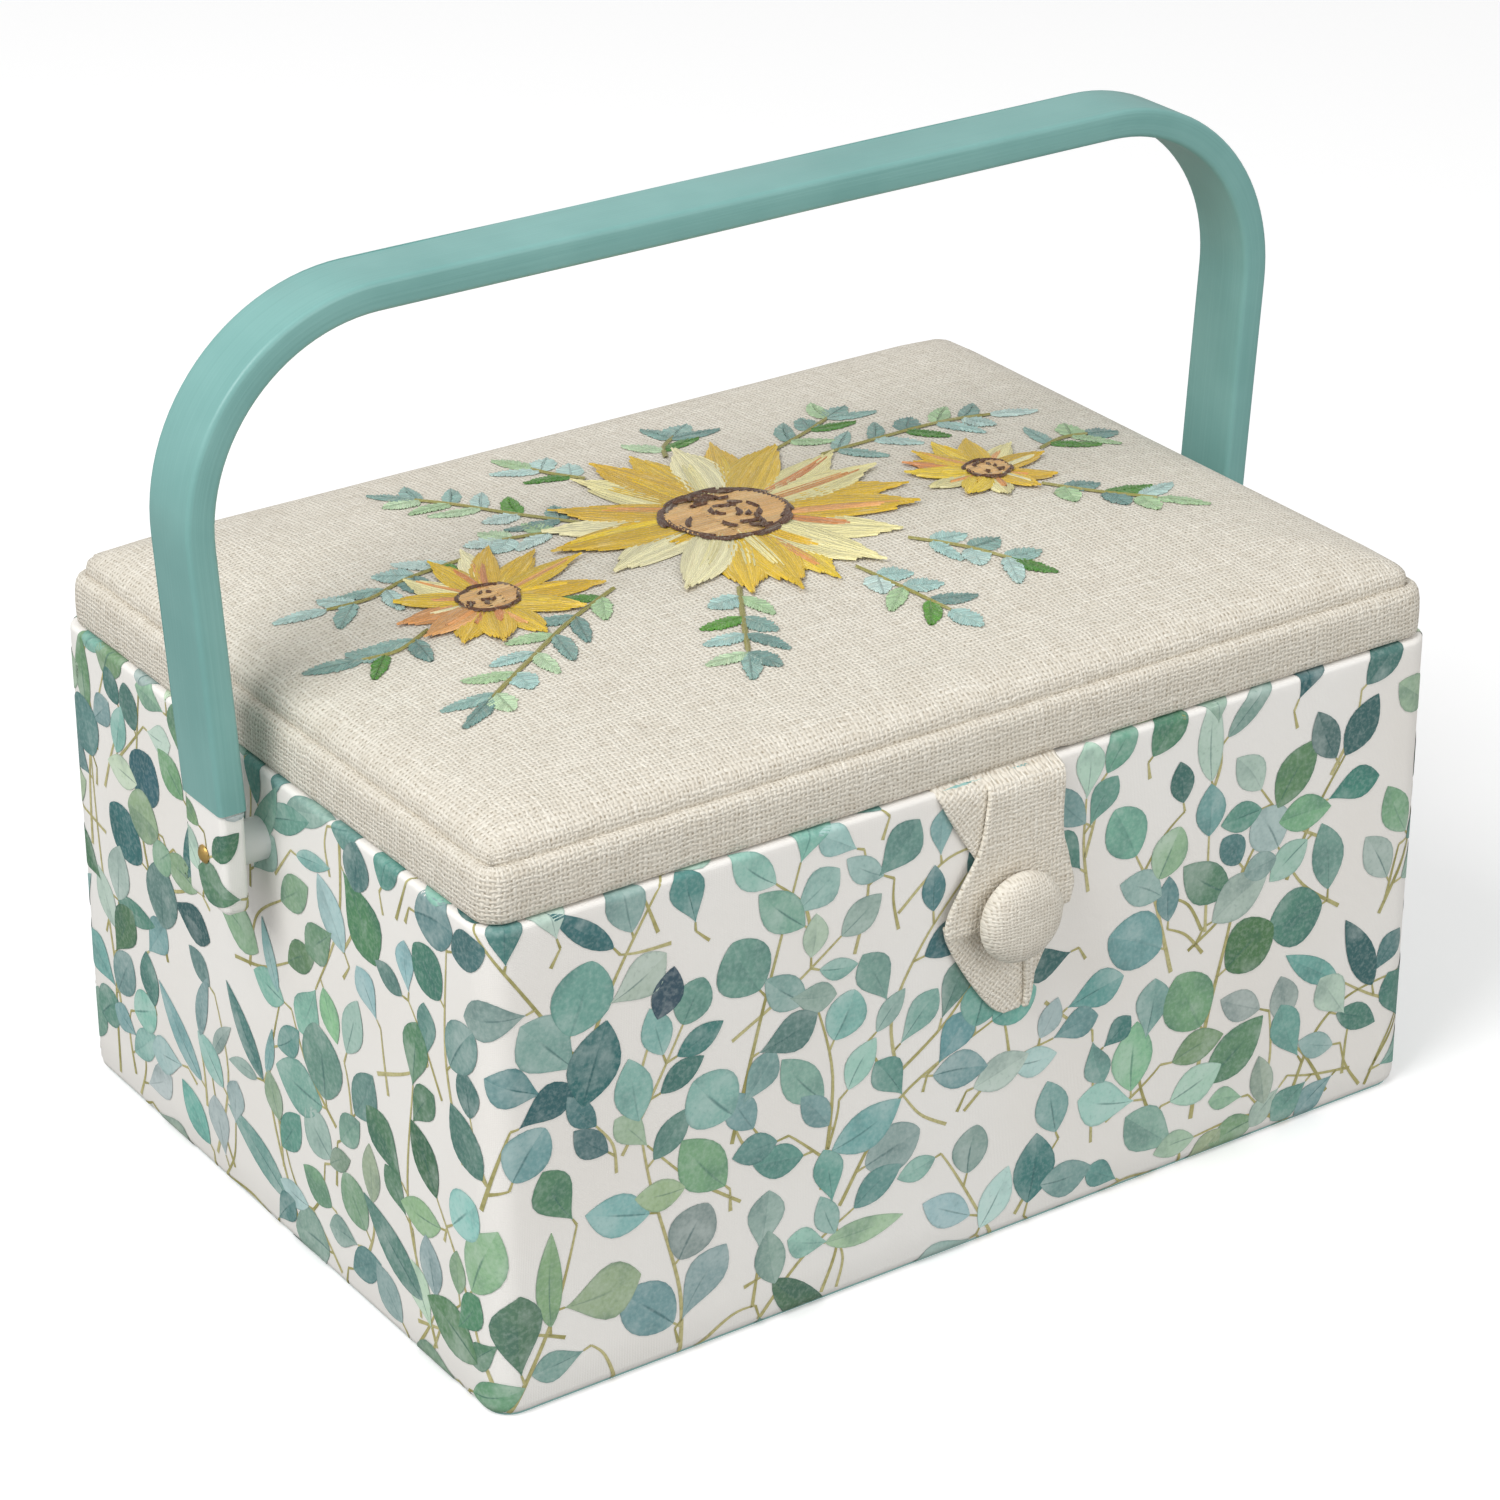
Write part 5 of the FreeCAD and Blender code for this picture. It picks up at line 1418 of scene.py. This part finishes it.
def make_closure():
    """A linen strip folded to a point: one leg in front, one behind, and the mitre at the tip."""
    def creased(x, z, base):
        pull = math.exp(-(((x - 16) / 7) ** 2 + ((z - 96) / 6) ** 2))
        folds = 0.35 * math.sin((x - 4) * 0.9 + (z - 87) * 0.9) * pull
        roll = 0.25 * noise.noise(Vector((x / 6, z / 9, 4.0)))
        return base + folds + roll

    front = cloth_plate("closure_front_leg", [-2.0, -3.0, -4.5, -9.0, -13.4, -13.8, -13.2],
                        [19.0, 18.6, 18.2, 20.0, 22.2, 21.6, 20.8], [120.9, 112, 104, 97, 90, 86, 83.8], 18,
                        lambda x, z: creased(x, z, -98.7 + 5.7 * max(0.0, (z - 110) / 10.9) ** 8), 1.3)
    point = cloth_plate("closure_mitre", [-13.4, -12.6, -9.0, -4.0, 1.0, 4.2],
                        [21.4, 20.8, 17.0, 12.6, 10.6, 8.2], [87.0, 83, 76, 68, 61.6, 59.8], 18,
                        lambda x, z: creased(x, z, -97.4 + 0.01 * (87 - z)), 1.2, math.radians(45))
    roll = cloth_plate("closure_rolled_edge", [8.4, 8.6, 8.8, 9.2, 8.6], [12.8, 12.2, 11.6, 11.2, 10.2],
                       [80, 74, 68, 63, 60.4], 4, lambda x, z: -98.75 + 0.02 * (80 - z), 1.2)
    back = cloth_plate("closure_back_leg", [-15.5, -13.2, -9.0, -5.2, -3.4], [2.0, 2.0, 1.0, 0.0, -1.0],
                       [120.9, 115, 108, 102, 99], 8,
                       lambda x, z: creased(x, z, -97.2 + 4.2 * max(0.0, (z - 110) / 10.9) ** 8), 1.1,
                       math.radians(-35))
    tab = block("closure_tab", (-10, -93.4, 120.15), (18, -86.4, 120.95))
    bevel(tab, lambda e: True, 0.4, 2)
    smooth(tab, 40)
    for uv in tab.data.uv_layers[0].data:
        uv.uv = (uv.uv[0] * 28, uv.uv[1] * 12)
    for piece in (front, point, roll, back):
        put(piece, LINEN_STRAP, "closure", ("closure_loop",) if piece is front else ())
    # the end that is sewn down stays with the lid when the loop is lifted
    put(tab, LINEN_STRAP, "lid")

    button = ball("button_covered", BUTTON_RADIUS, 40, 24, (math.pi / 2, 0, 0))
    for vertex in button.data.vertices:
        x, y, z = vertex.co / MM
        far = math.hypot(x, z) / BUTTON_RADIUS
        if y <= 0:
            depth = -7.0 + 4.4 * (1 - math.sqrt(max(0.0, 1 - min(1.0, far) ** 3.6)))
            gather = 0.0
        else:
            depth = -2.4 + 2.2 * min(1.0, y / 7)
            gather = 0.35 * math.sin(math.atan2(z, x) * 15) * (1 - far)
        shrink = 1.0 if y <= 0 else 1 - 0.05 * (y / BUTTON_RADIUS)
        vertex.co = ((BUTTON_X + x * shrink) * MM, (-99.6 + depth + gather) * MM,
                     (BUTTON_Z + z * shrink) * MM)
    uv = button.data.uv_layers[0].data
    for loop in button.data.loops:
        point_at = button.data.vertices[loop.vertex_index].co / MM
        uv[loop.index].uv = ((point_at.x - BUTTON_X) * 1.12, (point_at.z - BUTTON_Z) * 1.12)
    outward(button)
    smooth(button, 60)
    put(button, LINEN_FINE, "case", ("button",))


# ---------------------------------------------------------------- inside the lid

def make_pin_cushion():
    """A stuffed cotton cushion under the lid with a corded seam, sewn down through its middle."""
    cushion = block("pin_cushion_cotton", (-91.5, -23.5, 119.3), (-24.5, 23.5, 127.6))
    bevel(cushion, lambda e: abs(middle_of(e).z - 123.45) < 1, 7, 5)
    apply_modifier(cushion, "REMESH", mode="VOXEL", voxel_size=2.2 * MM)
    blow_out(cushion, pressure=4.0, cap=2.2)
    for vertex in cushion.data.vertices:
        x, y, z = vertex.co / MM
        tuft = math.exp(-(((x - TUFT_X) / 9) ** 2 + (y / 9) ** 2)) * (2.2 if z < 123 else 0)
        vertex.co.z = min(128.5, max(117.7, z + tuft)) * MM
        vertex.co.x = min(-23.1, max(-92.9, x)) * MM
        vertex.co.y = min(24.9, max(-24.9, y)) * MM
    subdivide(cushion, 1)
    smooth(cushion, 60)
    put(cushion, CUSHION_CLOTH, "lid", ("pin_cushion",))
    tuft = ball("pin_cushion_tuft", 3.4, 20, 12)
    for vertex in tuft.data.vertices:
        vertex.co = (vertex.co.x + TUFT_X * MM, vertex.co.y, vertex.co.z * 0.42 + 119.6 * MM)
    smooth(tuft, 60)
    put(tuft, PIPING, "lid")


def make_pocket():
    """A gathered pocket under the lid: its elastic top is to the front, which is up once the lid is open."""
    columns, rows = 120, 24

    def place(column, row):
        t, r = column / columns, row / rows
        x, y = 10.6 + 94.8 * t, 30.6 - 61.2 * r
        sides = min(1.0, 8 * t, 8 * (1 - t)) ** 0.7
        rise = (0.9 + 4.2 * math.sin(math.pi * min(1.0, r * 1.04) * 0.62)) * sides
        gathers = math.sin(t * 2 * math.pi * 17 + 1.3 * math.sin(5 * t))
        ripple = gathers * (0.45 * (1 - r) ** 2 + 0.18 + 0.75 * max(0.0, r - 0.72) / 0.28) * sides
        waist = 1.1 * math.exp(-(((r - 0.86) / 0.05) ** 2)) * sides
        depth = min(6.3, max(0.7, 1.0 + rise + ripple - waist))
        return (x, y, 128.5 - depth), (x, y)

    pocket = sheet_of_cloth("lid_pocket_gathered", columns, rows)
    lay_out(pocket, columns, rows, place)
    face_down(pocket, 2)
    thicken(pocket, 0.5)
    smooth(pocket, 60)
    put(pocket, CUSHION_CLOTH, "lid", ("lid_pocket",))


# ---------------------------------------------------------------- camera, light and floor

def make_studio():
    nothing_selected()
    bpy.ops.object.camera_add(location=CAMERA_PLACE)
    camera = bpy.context.object
    camera.rotation_mode = "QUATERNION"
    camera.rotation_quaternion = Vector(CAMERA_AIM).to_track_quat("-Z", "Y")
    camera.data.lens, camera.data.sensor_width = 109.2, 36.0
    camera.data.clip_start, camera.data.clip_end = 0.05, 60.0
    bpy.context.scene.camera = camera

    def lamp(name, place, aim, size, watts):
        bpy.ops.object.light_add(type="AREA", location=place)
        light = bpy.context.object
        light.name = name
        light.rotation_mode = "QUATERNION"
        light.rotation_quaternion = (Vector(aim) - Vector(place)).to_track_quat("-Z", "Y")
        light.data.shape, light.data.size, light.data.energy = "SQUARE", size, watts

    lamp("key", (-1.19, -0.25, 1.36), (0, 0, 0.08), 0.95, 20.0)
    lamp("front_fill", (0.35, -1.9, 0.95), (0, 0, 0.06), 1.6, 13.0)

    world = bpy.data.worlds.new("studio")
    bpy.context.scene.world = world
    world.use_nodes = True
    world.node_tree.nodes["Background"].inputs["Color"].default_value = (1, 1, 1, 1)
    world.node_tree.nodes["Background"].inputs["Strength"].default_value = 0.60

    nothing_selected()
    bpy.ops.mesh.primitive_plane_add(size=14, location=(0, 0, 0))
    floor = at_home(bpy.context.object, "studio_floor")
    floor_paint, w, shader = new_material("studio_floor_paint", 0.75)
    mottle = w.noise(w.place("Object"), 1.4, 2)
    pale = w.mix(mottle, colour(250, 250, 250), colour(254, 254, 254))
    # the floor throws back less light than it shows, as a floor further off would
    seen = w.node("ShaderNodeLightPath").outputs["Is Camera Ray"]
    w.link(w.mix(seen, colour(150, 150, 148), pale), shader["Base Color"])
    shader["Emission Color"].default_value = (1, 1, 1, 1)
    w.link(w.times(seen, 0.16), shader["Emission Strength"])
    floor.data.materials.append(floor_paint)
    view = bpy.context.scene.view_settings
    view.view_transform, view.look, view.exposure, view.gamma = "Standard", "None", 0.0, 1.0


# ---------------------------------------------------------------- putting it together

leaf_cuts = {name: make_leaf_cut(name, *cut) for name, cut in CUTS.items()}
make_case_cloth()
print_case(leaf_cuts)
make_foot("left_foot_cloth", FOOT_LEFT, "left_foot_cover", 11, leaf_cuts)
make_foot("right_foot_cloth", FOOT_RIGHT, "right_foot_cover", 12, leaf_cuts)
for cut_piece in leaf_cuts.values():
    bpy.data.objects.remove(cut_piece)
make_handle()
make_band()
lid_top = make_top()
embroider(lid_top)
make_closure()
make_pin_cushion()
make_pocket()
make_studio()
